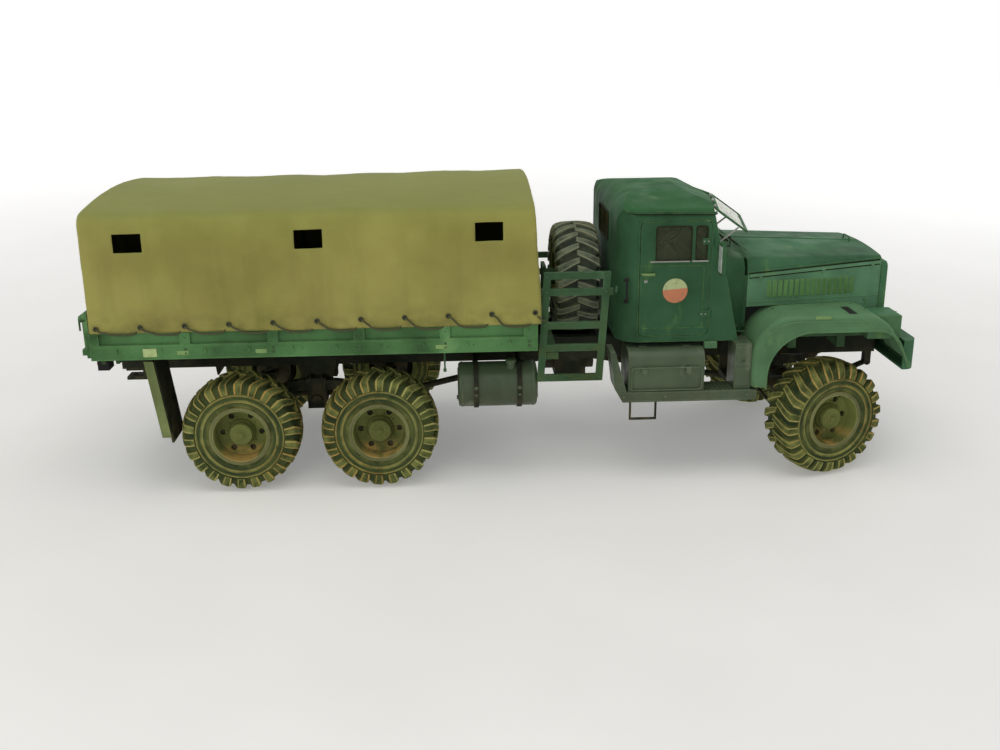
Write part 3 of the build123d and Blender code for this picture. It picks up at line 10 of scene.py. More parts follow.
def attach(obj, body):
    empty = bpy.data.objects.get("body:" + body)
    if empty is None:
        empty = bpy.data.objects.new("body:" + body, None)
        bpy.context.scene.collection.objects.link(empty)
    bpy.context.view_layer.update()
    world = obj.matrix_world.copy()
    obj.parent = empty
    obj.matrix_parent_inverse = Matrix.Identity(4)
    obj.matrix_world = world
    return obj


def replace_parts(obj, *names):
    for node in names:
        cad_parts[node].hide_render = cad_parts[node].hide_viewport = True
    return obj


# Looks for the model truck. Lengths are in millimetres unless they say otherwise.
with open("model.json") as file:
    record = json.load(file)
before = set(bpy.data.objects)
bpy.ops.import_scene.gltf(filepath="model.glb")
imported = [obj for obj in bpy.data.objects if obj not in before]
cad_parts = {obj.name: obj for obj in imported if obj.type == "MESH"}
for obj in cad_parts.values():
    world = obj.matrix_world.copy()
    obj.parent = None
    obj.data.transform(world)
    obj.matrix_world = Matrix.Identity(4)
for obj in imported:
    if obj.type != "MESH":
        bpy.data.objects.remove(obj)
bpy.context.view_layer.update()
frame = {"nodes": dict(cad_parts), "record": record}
NODES = frame["nodes"]
MM = 0.001
SIDES = (("right", -1), ("left", 1))
BOTH = (-1, 1)
CHASSIS = "chassis"
rng = random.Random(7)

# Camera and light. Their places are in metres, and the camera's angles in radians.
IMAGE_WIDTH = 1000
FOCAL_PIXELS = 1084.9
SENSOR = 36.0
CAMERA_PLACE = (-0.0495, -1.1647, 0.4512)
YAW, PITCH, ROLL = 0.040, -0.312, -0.012
WORLD_LIGHT = 0.3
# Name, place, target, size, watts, colour
LIGHTS = (
    ("top_light", (-0.2, -0.5, 2.4), (0, 0, 0.1), (2.4, 1.8), 19, (1.0, 0.985, 0.95)),
    ("side_light", (-1.2, -2.4, 1.0), (0, 0, 0.15), (1.6, 1.2), 14, (1.0, 0.98, 0.94)),
    ("rim_light", (1.8, 1.8, 1.3), (0, 0, 0.15), (1.4, 1.2), 6, (0.95, 0.98, 1.0)),
)


def add_object(name, data):
    made = bpy.data.objects.new(name, data)
    bpy.context.scene.collection.objects.link(made)
    return made


def make_camera():
    """The photograph's camera: its place, heading, tilt and roll."""
    ahead = Vector((math.sin(YAW) * math.cos(PITCH), math.cos(YAW) * math.cos(PITCH), math.sin(PITCH)))
    level = Vector((math.cos(YAW), -math.sin(YAW), 0))
    above = level.cross(ahead)
    right = level * math.cos(ROLL) + above * math.sin(ROLL)
    up = above * math.cos(ROLL) - level * math.sin(ROLL)
    data = bpy.data.cameras.new("camera")
    data.sensor_width = SENSOR
    data.lens = FOCAL_PIXELS / IMAGE_WIDTH * SENSOR
    data.clip_start, data.clip_end = 0.02, 50
    camera = add_object("camera", data)
    turn = Matrix((right, up, -ahead)).transposed().to_4x4()
    turn.translation = Vector(CAMERA_PLACE)
    camera.matrix_world = turn
    bpy.context.scene.camera = camera


def area_light(name, place, target, size, watts, colour):
    data = bpy.data.lights.new(name, "AREA")
    data.shape = "RECTANGLE"
    data.size, data.size_y = size
    data.energy = watts
    data.color = colour
    light = add_object(name, data)
    light.location = place
    light.rotation_euler = (Vector(target) - Vector(place)).to_track_quat("-Z", "Y").to_euler()


make_camera()
bpy.context.scene.view_settings.view_transform = "Standard"
for row in LIGHTS:
    area_light(*row)


# Shader nodes. A colour is three numbers or a socket.
def plug(tree, made, inputs):
    """Gives a node's inputs, by name or number, their values or other sockets."""
    for key, value in inputs.items():
        if isinstance(value, bpy.types.NodeSocket):
            tree.links.new(value, made.inputs[key])
        else:
            made.inputs[key].default_value = value


def node(tree, kind, inputs=None, **settings):
    made = tree.nodes.new("ShaderNode" + kind)
    for key, value in settings.items():
        setattr(made, key, value)
    plug(tree, made, inputs or {})
    return made


def mix(tree, factor, a, b):
    rgb = [v if isinstance(v, bpy.types.NodeSocket) else (*v, 1) for v in (a, b)]
    return node(tree, "Mix", {0: factor, 6: rgb[0], 7: rgb[1]}, data_type="RGBA").outputs[2]


def spread(tree, value, low, high, to_low=0.0, to_high=1.0):
    """value's span from low to high, stretched to the second span and clamped."""
    return node(tree, "MapRange", {0: value, 1: low, 2: high, 3: to_low, 4: to_high}).outputs[0]


def times(tree, a, b):
    return node(tree, "Math", {0: a, 1: b}, operation="MULTIPLY").outputs[0]


def over(tree, colour, other, where, share):
    """colour, with a share of other laid over it wherever the input where is 1."""
    return mix(tree, times(tree, where, share), colour, other)


def scaled(colour, factor):
    return [c * factor for c in colour]


def spot(tree, axis=None):
    """The shaded point in the model's frame in metres, or one of its three coordinates."""
    at = node(tree, "TexCoord").outputs["Object"]
    return at if axis is None else node(tree, "SeparateXYZ", {0: at}).outputs[axis]


def blotches(tree, scale, stretch=(1, 1, 1), detail=4.0, low=0.4, high=0.6, seed=0.0):
    """Soft cloudy patches from 0 to 1. scale is in patches per metre."""
    moved = node(tree, "Mapping", {0: spot(tree), 1: (seed, seed * 0.7, seed * 1.3), 3: stretch})
    cloud = node(tree, "TexNoise", {0: moved.outputs[0], "Scale": scale, "Detail": detail})
    return spread(tree, cloud.outputs["Fac"], low, high)


def edges(tree, radius, low=0.96, high=0.75):
    """1 along the object's sharp edges and 0 on its flats."""
    round_normal = node(tree, "Bevel", {0: radius}, samples=4).outputs[0]
    flat_normal = node(tree, "NewGeometry").outputs["Normal"]
    dot = node(tree, "VectorMath", {0: round_normal, 1: flat_normal}, operation="DOT_PRODUCT")
    return spread(tree, dot.outputs["Value"], low, high)


def facing_up(tree, low, high):
    normal = node(tree, "NewGeometry").outputs["Normal"]
    return spread(tree, node(tree, "SeparateXYZ", {0: normal}).outputs[2], low, high)


def low_down(tree, top, bottom):
    """0 above the height top and 1 below bottom, in millimetres over the ground."""
    return spread(tree, spot(tree, 2), top * MM, bottom * MM)


def new_material(name):
    """An empty node material, its tree and its Principled shader."""
    material = bpy.data.materials.new(name)
    material.use_nodes = True
    return material, material.node_tree, material.node_tree.nodes["Principled BSDF"]


def bump(tree, shader, height, distance, strength):
    made = node(tree, "Bump", {"Height": height, "Distance": distance, "Strength": strength})
    tree.links.new(made.outputs[0], shader.inputs["Normal"])


def painted(
    name, base, worn, wear, roughness, mud_top, seed, mud=(0.11, 0.09, 0.045), mud_reach=60,
    stroke=(1, 1, 0.16), contrast=1.28, shine=0.07, top=None,
):
    """Old brushed-on paint: cloudy, with pale worn edges, streaks, and dried mud low down. top is its colour
    where it faces up: partly dust, and partly painted light from above."""
    material, tree, shader = new_material(name)
    dark, light = scaled(base, 0.70), scaled(base, contrast)
    colour = mix(tree, blotches(tree, 16, detail=5, low=0.36, high=0.64, seed=seed), dark, light)
    colour = over(tree, colour, light, blotches(tree, 55, stroke, 6, 0.45, 0.75, seed + 3), 0.45)
    # Where the paint faces up it turns towards top: partly dust, and partly painted light from above.
    if top:
        cloud = blotches(tree, 26, detail=5, low=0.3, high=0.6, seed=seed + 7)
        dust_and_top_light = mix(tree, cloud, scaled(top, 0.85), scaled(top, 1.15))
        colour = over(tree, colour, dust_and_top_light, facing_up(tree, 0.35, 0.9), 0.85)
    speckle = blotches(tree, 330, detail=3, low=0.58, high=0.72, seed=seed + 5)
    colour = over(tree, colour, dark, speckle, 0.25)
    uneven = blotches(tree, 120, detail=5, low=0.34, high=0.6, seed=seed)
    colour = over(tree, colour, worn, times(tree, edges(tree, 0.0011), uneven), wear)
    patches = blotches(tree, 38, (1, 1, 0.5), 6, 0.63, 0.72, seed + 9)
    colour = over(tree, colour, worn, patches, wear * 0.45)
    muddy = low_down(tree, mud_top + mud_reach, mud_top - mud_reach / 2)
    colour = over(tree, colour, mud, times(tree, muddy, blotches(tree, 70, detail=6, seed=seed + 1)), 0.8)
    gloss = blotches(tree, 45, detail=4, low=0.3, high=0.7, seed=seed + 2)
    gloss = spread(tree, gloss, 0, 1, roughness - 0.12, roughness + 0.14)
    plug(tree, shader, {"Base Color": colour, "Specular IOR Level": shine, "Roughness": gloss})
    grain = node(tree, "TexNoise", {0: spot(tree), "Scale": 900.0, "Detail": 3.0})
    bump(tree, shader, grain.outputs["Fac"], 0.00012, 0.5)
    return material


def glass(name, tint, shaded_behind):
    """Clear pane with a faint tint, dust and waviness. Behind an X in metres it is darkened and clouded:
    painted shade, standing in for the dark seen through it.
    """
    material, tree, shader = new_material(name)
    dust = blotches(tree, 30, (1, 1, 0.5), 6, 0.45, 0.75)
    # Painted shade: 1 behind the X, where the pane turns dark, dull and less clear.
    painted_shade = spread(tree, spot(tree, 0), shaded_behind, shaded_behind - 0.01)
    colour = over(tree, tint, (0.22, 0.20, 0.11), dust, 0.4)
    shade_colour = mix(tree, blotches(tree, 60, detail=5), (0.050, 0.048, 0.022), (0.10, 0.10, 0.05))
    smooth_dust = spread(tree, dust, 0, 1, 0.04, 0.3)
    rough = node(tree, "Math", {0: smooth_dust, 1: painted_shade}, operation="ADD", use_clamp=True)
    plug(tree, shader, {
        "Base Color": mix(tree, painted_shade, colour, shade_colour),
        "Roughness": rough.outputs[0],
        "Transmission Weight": spread(tree, painted_shade, 0, 1, 0.95, 0.35),
        "IOR": spread(tree, painted_shade, 0, 1, 1.15, 1.0),
    })
    wave = node(tree, "TexNoise", {0: spot(tree), "Scale": 60.0})
    bump(tree, shader, wave.outputs["Fac"], 0.0003, 0.3)
    return material


def bands(tree, stretch, scale, distortion=0.0, direction="X"):
    """Regular bands of light and dark across the model."""
    run = node(tree, "Mapping", {0: spot(tree), 3: stretch}).outputs[0]
    wave = {0: run, "Scale": scale, "Distortion": distortion}
    return node(tree, "TexWave", wave, bands_direction=direction).outputs["Fac"]


def canvas(name, light, dark):
    """Waxed khaki canvas: cloudy, paler along its seams, with a fine weave."""
    material, tree, shader = new_material(name)
    colour = mix(tree, blotches(tree, 11, detail=6, low=0.36, high=0.60), dark, light)
    brown = blotches(tree, 7, (1, 1, 0.6), 5, 0.48, 0.68, 6.0)
    colour = over(tree, colour, (0.23, 0.185, 0.06), brown, 0.35)
    streaks = blotches(tree, 60, (1, 1, 0.12), 5, 0.5, 0.75, 2.0)
    colour = over(tree, colour, scaled(dark, 0.72), streaks, 0.35)
    seam = node(tree, "Attribute", attribute_name="seam").outputs["Fac"]
    colour = over(tree, colour, scaled(light, 1.35), seam, 0.4)
    # Paler and greener on the roof and on faces that point up: partly dust, and partly painted light from
    # above.
    colour = over(tree, colour, (0.33, 0.36, 0.085), low_down(tree, 252, 280), 0.3)
    colour = over(tree, colour, (0.27, 0.30, 0.085), facing_up(tree, 0.1, 0.95), 0.6)
    soiled = times(tree, low_down(tree, 196, 172), blotches(tree, 90, detail=5, low=0.4, high=0.6))
    colour = over(tree, colour, (0.10, 0.10, 0.035), soiled, 0.35)
    plug(tree, shader, {
        "Base Color": colour, "Roughness": 0.88, "Sheen Weight": 0.08, "Specular IOR Level": 0.2,
    })
    threads = [bands(tree, stretch, 320.0, 0.6, "DIAGONAL") for stretch in ((1, 1, 0), (0, 0, 1))]
    weave = node(tree, "Math", {0: threads[0], 1: threads[1]}, operation="ADD").outputs[0]
    bump(tree, shader, weave, 0.0001, 0.45)
    return material


def tyre_material(name, groove, lug, edge, dust):
    """Dark rubber, paler on its lugs, with dusty edges and mud in its grooves. All but dust are two
    colours each."""
    material, tree, shader = new_material(name)
    colour = mix(tree, blotches(tree, 40, detail=6, low=0.35, high=0.65), *groove)
    uneven = blotches(tree, 75, detail=6, low=0.38, high=0.66, seed=5.0)
    wear = node(tree, "Attribute", attribute_name="wear").outputs["Fac"]
    colour = mix(tree, spread(tree, wear, 0, 0.36), colour, mix(tree, uneven, *lug))
    spotty = blotches(tree, 90, detail=5, low=0.26, high=0.46, seed=2.0)
    beige = mix(tree, blotches(tree, 14, detail=3, seed=4.0), *edge)
    colour = over(tree, colour, beige, times(tree, spread(tree, wear, 0.42, 0.8), spotty), 0.95)
    worn = times(tree, edges(tree, 0.0012), blotches(tree, 150, detail=5, low=0.3, high=0.55))
    colour = over(tree, colour, edge[0], worn, 0.45)
    muddy = blotches(tree, 24, detail=6, low=0.5, high=0.72, seed=3.0)
    colour = over(tree, colour, dust, muddy, 0.45)
    plug(tree, shader, {"Base Color": colour, "Roughness": 0.85, "Specular IOR Level": 0.1})
    grain = node(tree, "TexNoise", {0: spot(tree), "Scale": 1100.0})
    bump(tree, shader, grain.outputs["Fac"], 0.00015, 0.6)
    return material


def lamp_glass(name, colour, ribs):
    """Ribbed lens in front of a bright bowl."""
    material, tree, shader = new_material(name)
    tint = mix(tree, blotches(tree, 120, detail=4), scaled(colour, 0.7), colour)
    plug(tree, shader, {"Base Color": tint, "Roughness": 0.12, "Coat Weight": 0.6})
    bump(tree, shader, bands(tree, ribs, 260.0), 0.0004, 0.5)
    return material


def cord_material(name, light, dark):
    """Twisted rope: two strand tones wound round it."""
    material, tree, shader = new_material(name)
    strands = bands(tree, (1, 1, 1), 420.0, 1.2, "DIAGONAL")
    plug(tree, shader, {"Base Color": mix(tree, strands, dark, light), "Roughness": 0.9})
    bump(tree, shader, strands, 0.0003, 0.6)
    return material


def split_disc(name, upper, lower, middle, slope):
    """Two worn paints, parted by a slanting line through the point middle, in millimetres."""
    material, tree, shader = new_material(name)
    drop = -(middle[1] + slope * middle[0]) * MM
    rise = node(tree, "Math", {0: spot(tree, 0), 1: slope, 2: drop}, operation="MULTIPLY_ADD")
    level = node(tree, "Math", {0: spot(tree, 2), 1: rise.outputs[0]}, operation="ADD").outputs[0]
    colour = mix(tree, spread(tree, level, -0.0002, 0.0002), lower, upper)
    worn = blotches(tree, 210, detail=5, low=0.55, high=0.68)
    colour = over(tree, colour, (0.08, 0.13, 0.07), worn, 0.5)
    plug(tree, shader, {"Base Color": colour, "Roughness": 0.6})
    return material


GREEN = (0.036, 0.098, 0.046)
# HOOD_GREEN and FENDER_GREEN are lighter copies of GREEN: painted light where the hood and fenders catch
# more light than the cab, with some more wear.
HOOD_GREEN = (0.060, 0.155, 0.076)
FENDER_GREEN = (0.090, 0.186, 0.090)
LIME = (0.21, 0.36, 0.11)
# Name, base and worn colour, wear, roughness, top of the mud, seed, and what else differs
# A top colour, where a paint faces up, is partly dust and partly painted light from above.
PAINTS = {
    "body_green": ("green_paint", GREEN, LIME, 0.6, 0.62, 30, 0.0, {"top": (0.034, 0.122, 0.042)}),
    "hood_green": ("hood_paint", HOOD_GREEN, LIME, 0.7, 0.62, 20, 1.0, {}),
    "fender_green": ("fender_paint", FENDER_GREEN, LIME, 0.8, 0.65, 60, 1.6, {"top": (0.135, 0.275, 0.135)}),
    # The hood's sides: a lighter copy still, painted light where they face the light.
    "hood_side_green": ("hood_side_paint", (0.116, 0.252, 0.140), LIME, 0.8, 0.62, 20, 1.3, {}),
    "bed_green": (
        "bed_paint", (0.058, 0.136, 0.050), (0.22, 0.40, 0.16), 1.0, 0.62, 30, 2.0,
        {"stroke": (0.12, 1, 1), "contrast": 1.75},
    ),
    "carrier_green": (
        "carrier_paint", (0.046, 0.100, 0.046), (0.15, 0.29, 0.15), 0.8, 0.6, 120, 4.0,
        {"mud": (0.080, 0.098, 0.032), "mud_reach": 90},
    ),
    "box_grey": (
        "box_paint", (0.064, 0.092, 0.048), (0.24, 0.29, 0.17), 0.85, 0.40, 50, 5.0,
        {"shine": 0.28, "top": (0.085, 0.120, 0.070)},
    ),
    "chassis_black": ("chassis_paint", (0.022, 0.026, 0.018), (0.10, 0.10, 0.06), 0.5, 0.65, 70, 6.0, {}),
    "engine_grey": ("engine_metal", (0.10, 0.11, 0.10), (0.25, 0.25, 0.22), 0.6, 0.5, 20, 7.0, {}),
    "rim_brown": (
        "rim_paint", (0.150, 0.172, 0.050), (0.36, 0.34, 0.13), 0.9, 0.7, 42, 8.0,
        {"mud": (0.48, 0.31, 0.095), "mud_reach": 7},
    ),
    "black_plastic": ("black_plastic", (0.02, 0.02, 0.02), (0.07, 0.07, 0.06), 0.4, 0.45, 0, 9.0, {}),
    "worn_green": ("worn_paint", (0.20, 0.33, 0.12), (0.42, 0.46, 0.2), 1.0, 0.6, 0, 10.0, {}),
    "louvre_green": ("louvre_paint", (0.10, 0.22, 0.075), (0.30, 0.42, 0.12), 1.0, 0.6, 0, 11.0, {}),
    "bright_metal": ("bright_metal", (0.30, 0.31, 0.28), (0.55, 0.55, 0.5), 0.6, 0.35, 0, 12.0, {}),
    "rim_edge": ("rim_edge", (0.165, 0.175, 0.075), (0.38, 0.36, 0.17), 0.9, 0.7, 0, 13.0, {}),
    "flap_edge": ("flap_edge", (0.175, 0.22, 0.085), (0.36, 0.40, 0.16), 0.7, 0.7, 40, 14.0, {}),
    "black_rubber": (
        "black_rubber", (0.020, 0.022, 0.013), (0.09, 0.09, 0.05), 0.5, 0.8, 70, 0.0,
        {"mud": (0.1, 0.085, 0.04)},
    ),
    "seat_brown": ("seat_cloth", (0.12, 0.08, 0.045), (0.2, 0.15, 0.1), 0.3, 0.8, 0, 0.0, {}),
}
# Colour, and the directions that the ribs run across
LENSES = {
    "lamp_lens": ((0.62, 0.64, 0.58), (0, 1, 0)), "tail_lens": ((0.38, 0.02, 0.015), (0, 0, 1)),
    "reflector": ((0.42, 0.55, 0.20), (1, 0, 0)), "mirror_face": ((0.70, 0.74, 0.70), (0, 0, 0)),
}
# Groove, lug and edge, each two colours, and dust
RUBBERS = {
    "tyre_rubber": (
        ((0.030, 0.046, 0.022), (0.070, 0.092, 0.031)), ((0.050, 0.066, 0.022), (0.205, 0.220, 0.064)),
        ((0.44, 0.43, 0.145), (0.48, 0.305, 0.088)), (0.145, 0.158, 0.048),
    ),
    "spare_rubber": (
        ((0.040, 0.052, 0.042), (0.078, 0.096, 0.066)), ((0.080, 0.102, 0.076), (0.22, 0.26, 0.17)),
        ((0.38, 0.42, 0.28), (0.40, 0.36, 0.20)), (0.15, 0.16, 0.09),
    ),
}
# X and Z of the door disc's middle, and of the middle of the line that parts its colours
EMBLEM = (168.7, 196.5)
EMBLEM_LINE = (168.7, 198.2)
# X in metres. The only pane behind it is the cab's rear window, which is darkened there with painted shade,
# standing in for the shade behind the cab.
REAR_PANE_BEFORE = 0.130
MATERIALS = {slot: painted(*row[:7], **row[7]) for slot, row in PAINTS.items()}
MATERIALS |= {slot: lamp_glass(slot, *row) for slot, row in LENSES.items()}
MATERIALS |= {slot: tyre_material(slot, *row) for slot, row in RUBBERS.items()}
MATERIALS["clear_pane"] = glass("clear_pane", (0.50, 0.56, 0.36), REAR_PANE_BEFORE)
MATERIALS["khaki_cloth"] = canvas("canvas", (0.345, 0.325, 0.088), (0.255, 0.238, 0.060))
MATERIALS["rope"] = cord_material("rope", (0.095, 0.100, 0.038), (0.036, 0.040, 0.018))
MATERIALS["emblem"] = split_disc("emblem", (0.40, 0.47, 0.22), (0.52, 0.185, 0.085), EMBLEM_LINE, -0.08)
# Nodes painted in other colours than the rest of their slot. The hood, grille, bumper and fenders get
# lighter, more worn copies of the cab's green: partly wear, and partly painted light, as more light falls on
# them than on the cab. The spare tyre gets a paler, greyer rubber, and the tail lamps black plastic.
LIT_AND_AGED = {
    "hood_lid": "hood_green", "grille": "hood_green", "bumper": "hood_green",
    "hood_sides": "hood_side_green", "fender_right": "fender_green", "fender_left": "fender_green",
    "spare_tyre": "spare_rubber", "tail_lamps": "black_plastic",
}
for part in frame["record"]["subparts"]:
    shown = NODES[part["node"]].data.materials
    shown.clear()
    shown.append(MATERIALS[LIT_AND_AGED.get(part["node"], part["material_slot"])])


# Pieces
def circle(centre, across, other, radius, sides, start=0.0):
    turns = [start + 2 * math.pi * n / sides for n in range(sides)]
    return [centre + across * (radius * math.cos(a)) + other * (radius * math.sin(a)) for a in turns]


def rounded(points, radii, steps=6):
    """A path through points with its inner corners rounded to the radii."""
    points = [Vector(p) for p in points]
    path = [points[0]]
    for before, corner, after, radius in zip(points, points[1:], points[2:], radii):
        back = (before - corner).normalized()
        on = (after - corner).normalized()
        half_turn = back.angle(on) / 2
        reach = radius / math.tan(half_turn)
        centre = corner + (back + on).normalized() * (radius / math.sin(half_turn))
        start, end = corner + back * reach - centre, corner + on * reach - centre
        path += [centre + start.slerp(end, k / steps).normalized() * radius for k in range(steps + 1)]
    return path + [points[-1]]


SHARP_ANGLE = math.radians(32)


class Piece:
    """One mesh in the making. Its points are in millimetres, and at places them in the frame."""

    def __init__(self, at=None):
        self.at = at or Matrix.Identity(4)
        self.points, self.faces, self.wear = [], [], []

    def add(self, points, faces, wear=()):
        start = len(self.points)
        self.points += [self.at @ Vector(p) for p in points]
        self.faces += [[start + i for i in face] for face in faces]
        self.wear += wear or [0.0] * len(points)

    def block(self, x, y, z, edge=0.4):
        """A box between two values each of X, Y and Z, with its edges cut off."""
        spans = [sorted(v) for v in (x, y, z)]
        middle = [(a + b) / 2 for a, b in spans]
        half = [(b - a) / 2 for a, b in spans]
        edge = min([edge] + [h * 0.8 for h in half])
        points, corners = [], {}
        for sign in product((-1, 1), repeat=3):
            corners[sign] = len(points)
            for axis in range(3):
                cut = [half[n] if n == axis else half[n] - edge for n in range(3)]
                points.append([middle[n] + sign[n] * cut[n] for n in range(3)])
        faces = [[first + n for n in range(3)] for first in corners.values()]
        for axis in range(3):
            one, two = (axis + 1) % 3, (axis + 2) % 3
            # A corner's first point, by the corner's sides along axis, one and two
            at = {sign: corners[sign[-axis:] + sign[:-axis]] for sign in corners}
            for end in (-1, 1):
                faces.append([at[end, a, b] + axis for a, b in ((-1, -1), (1, -1), (1, 1), (-1, 1))])
            for a, b in product((-1, 1), repeat=2):
                low, high = at[-1, a, b], at[1, a, b]
                faces.append([low + one, high + one, high + two, low + two])
        self.add(points, faces)

    def rings(self, rings, round_=True, caps=True, wear=()):
        """Joins rings of equally many points, one after another. wear is for the points of a ring."""
        count = len(rings[0])
        faces = []
        for k in range(len(rings) - 1):
            for i in range(count if round_ else count - 1):
                j = (i + 1) % count
                faces.append([k * count + i, k * count + j, (k + 1) * count + j, (k + 1) * count + i])
        if caps:
            faces += [[end * count + i for i in range(count)] for end in (0, len(rings) - 1)]
        self.add([p for ring in rings for p in ring], faces, list(wear) * len(rings))

    def tube(self, path, radius, sides=8, bends=(), steps=6):
        """A round bar along a path, with its corners rounded to the bends."""
        path = rounded(path, bends, steps) if bends else [Vector(p) for p in path]
        ahead = (path[1] - path[0]).normalized()
        across = ahead.orthogonal().normalized()
        rings = []
        for order, point in enumerate(path):
            turned = (path[min(order + 1, len(path) - 1)] - path[max(order - 1, 0)]).normalized()
            across = (ahead.rotation_difference(turned) @ across).normalized()
            ahead = turned
            rings.append(circle(point, across, ahead.cross(across), radius, sides))
        self.rings(rings)

    def lathe(self, profile, origin, axis, sides=24, start=0.0, hollow=False):
        """Turns (radius, distance along axis) pairs round the axis. A hollow one is left open there."""
        axis = Vector(axis).normalized()
        across = axis.orthogonal().normalized()
        other = axis.cross(across)
        rings = [
            circle(Vector(origin) + axis * along, across, other, radius, sides, start)
            for radius, along in profile
        ]
        self.rings(rings + rings[:1] if hollow else rings, caps=not hollow)

    def bolt(self, at, out, radius=1.3, height=1.0):
        """A six-sided head on a washer, standing on a surface at a point."""
        self.lathe(((radius * 1.35, -0.2), (radius * 1.35, 0.2)), at, out, 12)
        head = ((radius, 0), (radius, height * 0.8), (radius * 0.8, height))
        self.lathe(head, at, out, 6, rng.random())

    def rivet(self, at, out, radius=1.0):
        self.lathe(((radius, -0.2), (radius * 0.9, 0.25), (radius * 0.4, 0.55)), at, out, 8)

    def finish(self, name, material, body=CHASSIS, slot=None):
        """Makes the mesh one object that rides on a body."""
        mesh = bpy.data.meshes.new(name)
        mesh.from_pydata([p * MM for p in self.points], [], self.faces)
        shape = bmesh.new()
        shape.from_mesh(mesh)
        bmesh.ops.recalc_face_normals(shape, faces=shape.faces)
        shape.to_mesh(mesh)
        shape.free()
        if any(self.wear):
            mesh.attributes.new("wear", "FLOAT", "POINT").data.foreach_set("value", self.wear)
        mesh.shade_smooth()
        mesh.set_sharp_from_angle(angle=SHARP_ANGLE)
        made = add_object(name, mesh)
        mesh.materials.append(MATERIALS[material])
        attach(made, body)
        return made


def pieces(count):
    return [Piece() for _ in range(count)]


# Wheels
FRONT_AXLE_X, MIDDLE_X, REAR_X = 321.0, -131.0, -271.0
WHEEL_Y, AXLE_Z = 112.5, 60.0
SPARE_X, SPARE_Z = 79.0, 188.0
KINGPIN_OFFSET = 30.0
STEER = math.radians(17)
CENTRE = (0, 0, 0)
LUGS = 22
LUG_LEAD = 0.17
TYRE_SEGMENTS = 88
# Radius, half width, wear: the carcass under the lugs, from its bead to the middle of the tread
CARCASS = (
    (28.7, 19.8, 0), (30.5, 20.8, 0.55), (33, 21.3, 0.2), (36, 22.0, 0), (36.8, 22.9, 0.62),
    (39.2, 23.2, 0.4), (40, 22.4, 0), (42.6, 22.0, 0), (43.2, 22.9, 0.55), (44.4, 22.9, 0.62),
    (45.0, 21.9, 0), (50, 20.6, 0), (53.2, 19.0, 0), (54.6, 16.5, 0), (55.2, 11, 0), (55.4, 0, 0),
)
# Radius, half width, outward tilt of the face, height, half length round the wheel
LUG_STATIONS = (
    (59.9, -1.2, 0, 5.2, 3.0), (59.9, 6, 2, 5.2, 3.5), (59.2, 13, 8, 5.2, 3.9),
    (57.9, 18.5, 24, 5.0, 4.2), (56.0, 21.8, 52, 4.6, 4.3), (52.8, 23.4, 78, 4.2, 4.2),
    (49.0, 24.3, 90, 3.6, 3.9), (45.6, 24.5, 90, 2.6, 3.4),
)
# Across a lug: place in half lengths, share of the height down, wear
LUG_SHAPE = (
    (-1.2, 1, 0), (-1.02, 0.15, 0.5), (-0.88, 0, 1), (-0.5, 0, 0.42), (0.5, 0, 0.36),
    (0.88, 0, 0.75), (1.02, 0.15, 0.4), (1.2, 1, 0),
)
# Profiles as (radius, distance outward) pairs
HUB_CAP = (
    (11.9, 9.0), (11.9, 14.4), (10.9, 16.2), (8.0, 16.8), (5.4, 16.9), (5.0, 17.6), (3.6, 17.8),
    (3.3, 19.6), (2.4, 20.2), (0.1, 20.3),
)
# Number, radius of their circle and distance outward: the wheel's nuts and the hub cap's rivets
NUTS = (10, 15.8, 6.2)
HUB_RIVETS = (8, 8.4, 16.7)
RIM_BEAD = ((28.6, 21.2), (30.8, 22.0), (30.4, 22.9), (28.8, 23.1), (27.2, 22.0))
DRUM = (
    (12.9, 3.8), (22.8, 3.8), (23.6, 3.0), (23.6, 1.0), (22.9, 0.6), (22.9, -2.4), (23.6, -2.8),
    (23.6, -5.0), (22.9, -5.4), (22.9, -8.6), (23.6, -9.0), (23.6, -10.8), (21.4, -10.8), (21.4, 2.4),
    (12.9, 2.4),
)


def wheel_place(x, side):
    """The matrix of a wheel's own frame: X forward, Y along the axle. The front wheels are steered."""
    if x != FRONT_AXLE_X:
        return Matrix.Translation((x, side * WHEEL_Y, AXLE_Z))
    centre = Vector((x - side * KINGPIN_OFFSET * math.sin(STEER), 0, AXLE_Z))
    centre.y = side * (WHEEL_Y - KINGPIN_OFFSET + KINGPIN_OFFSET * math.cos(STEER))
    return Matrix.Translation(centre) @ Matrix.Rotation(STEER, 4, "Z")


def on_wheel(radius, width, turn):
    return (radius * math.sin(turn), width, radius * math.cos(turn))


def tyre(piece):
    """Carcass and two rows of slanting lugs, in the wheel's own frame."""
    section = CARCASS + tuple((r, -w, rub) for r, w, rub in reversed(CARCASS[:-1]))
    turns = [2 * math.pi * n / TYRE_SEGMENTS for n in range(TYRE_SEGMENTS)]
    rings = [[on_wheel(r, w, turn) for r, w, _ in section] for turn in turns]
    piece.rings(rings + rings[:1], round_=False, caps=False, wear=[rub for _, _, rub in section])
    for row in (-1, 1):
        for n in range(LUGS):
            start = 2 * math.pi / LUGS * (n + row * 0.25)
            rings = []
            for radius, width, tilt, height, half in LUG_STATIONS:
                turn = start - LUG_LEAD * min(max(width, 0) / 22, 1)
                down = math.cos(math.radians(tilt)) * height
                inward = math.sin(math.radians(tilt)) * height
                ring = []
                for across, depth, _ in LUG_SHAPE:
                    place = (radius - down * depth, row * (width - inward * depth))
                    ring.append(on_wheel(*place, turn + across * half / radius))
                rings.append(ring)
            piece.rings(rings, wear=[wear for _, _, wear in LUG_SHAPE])


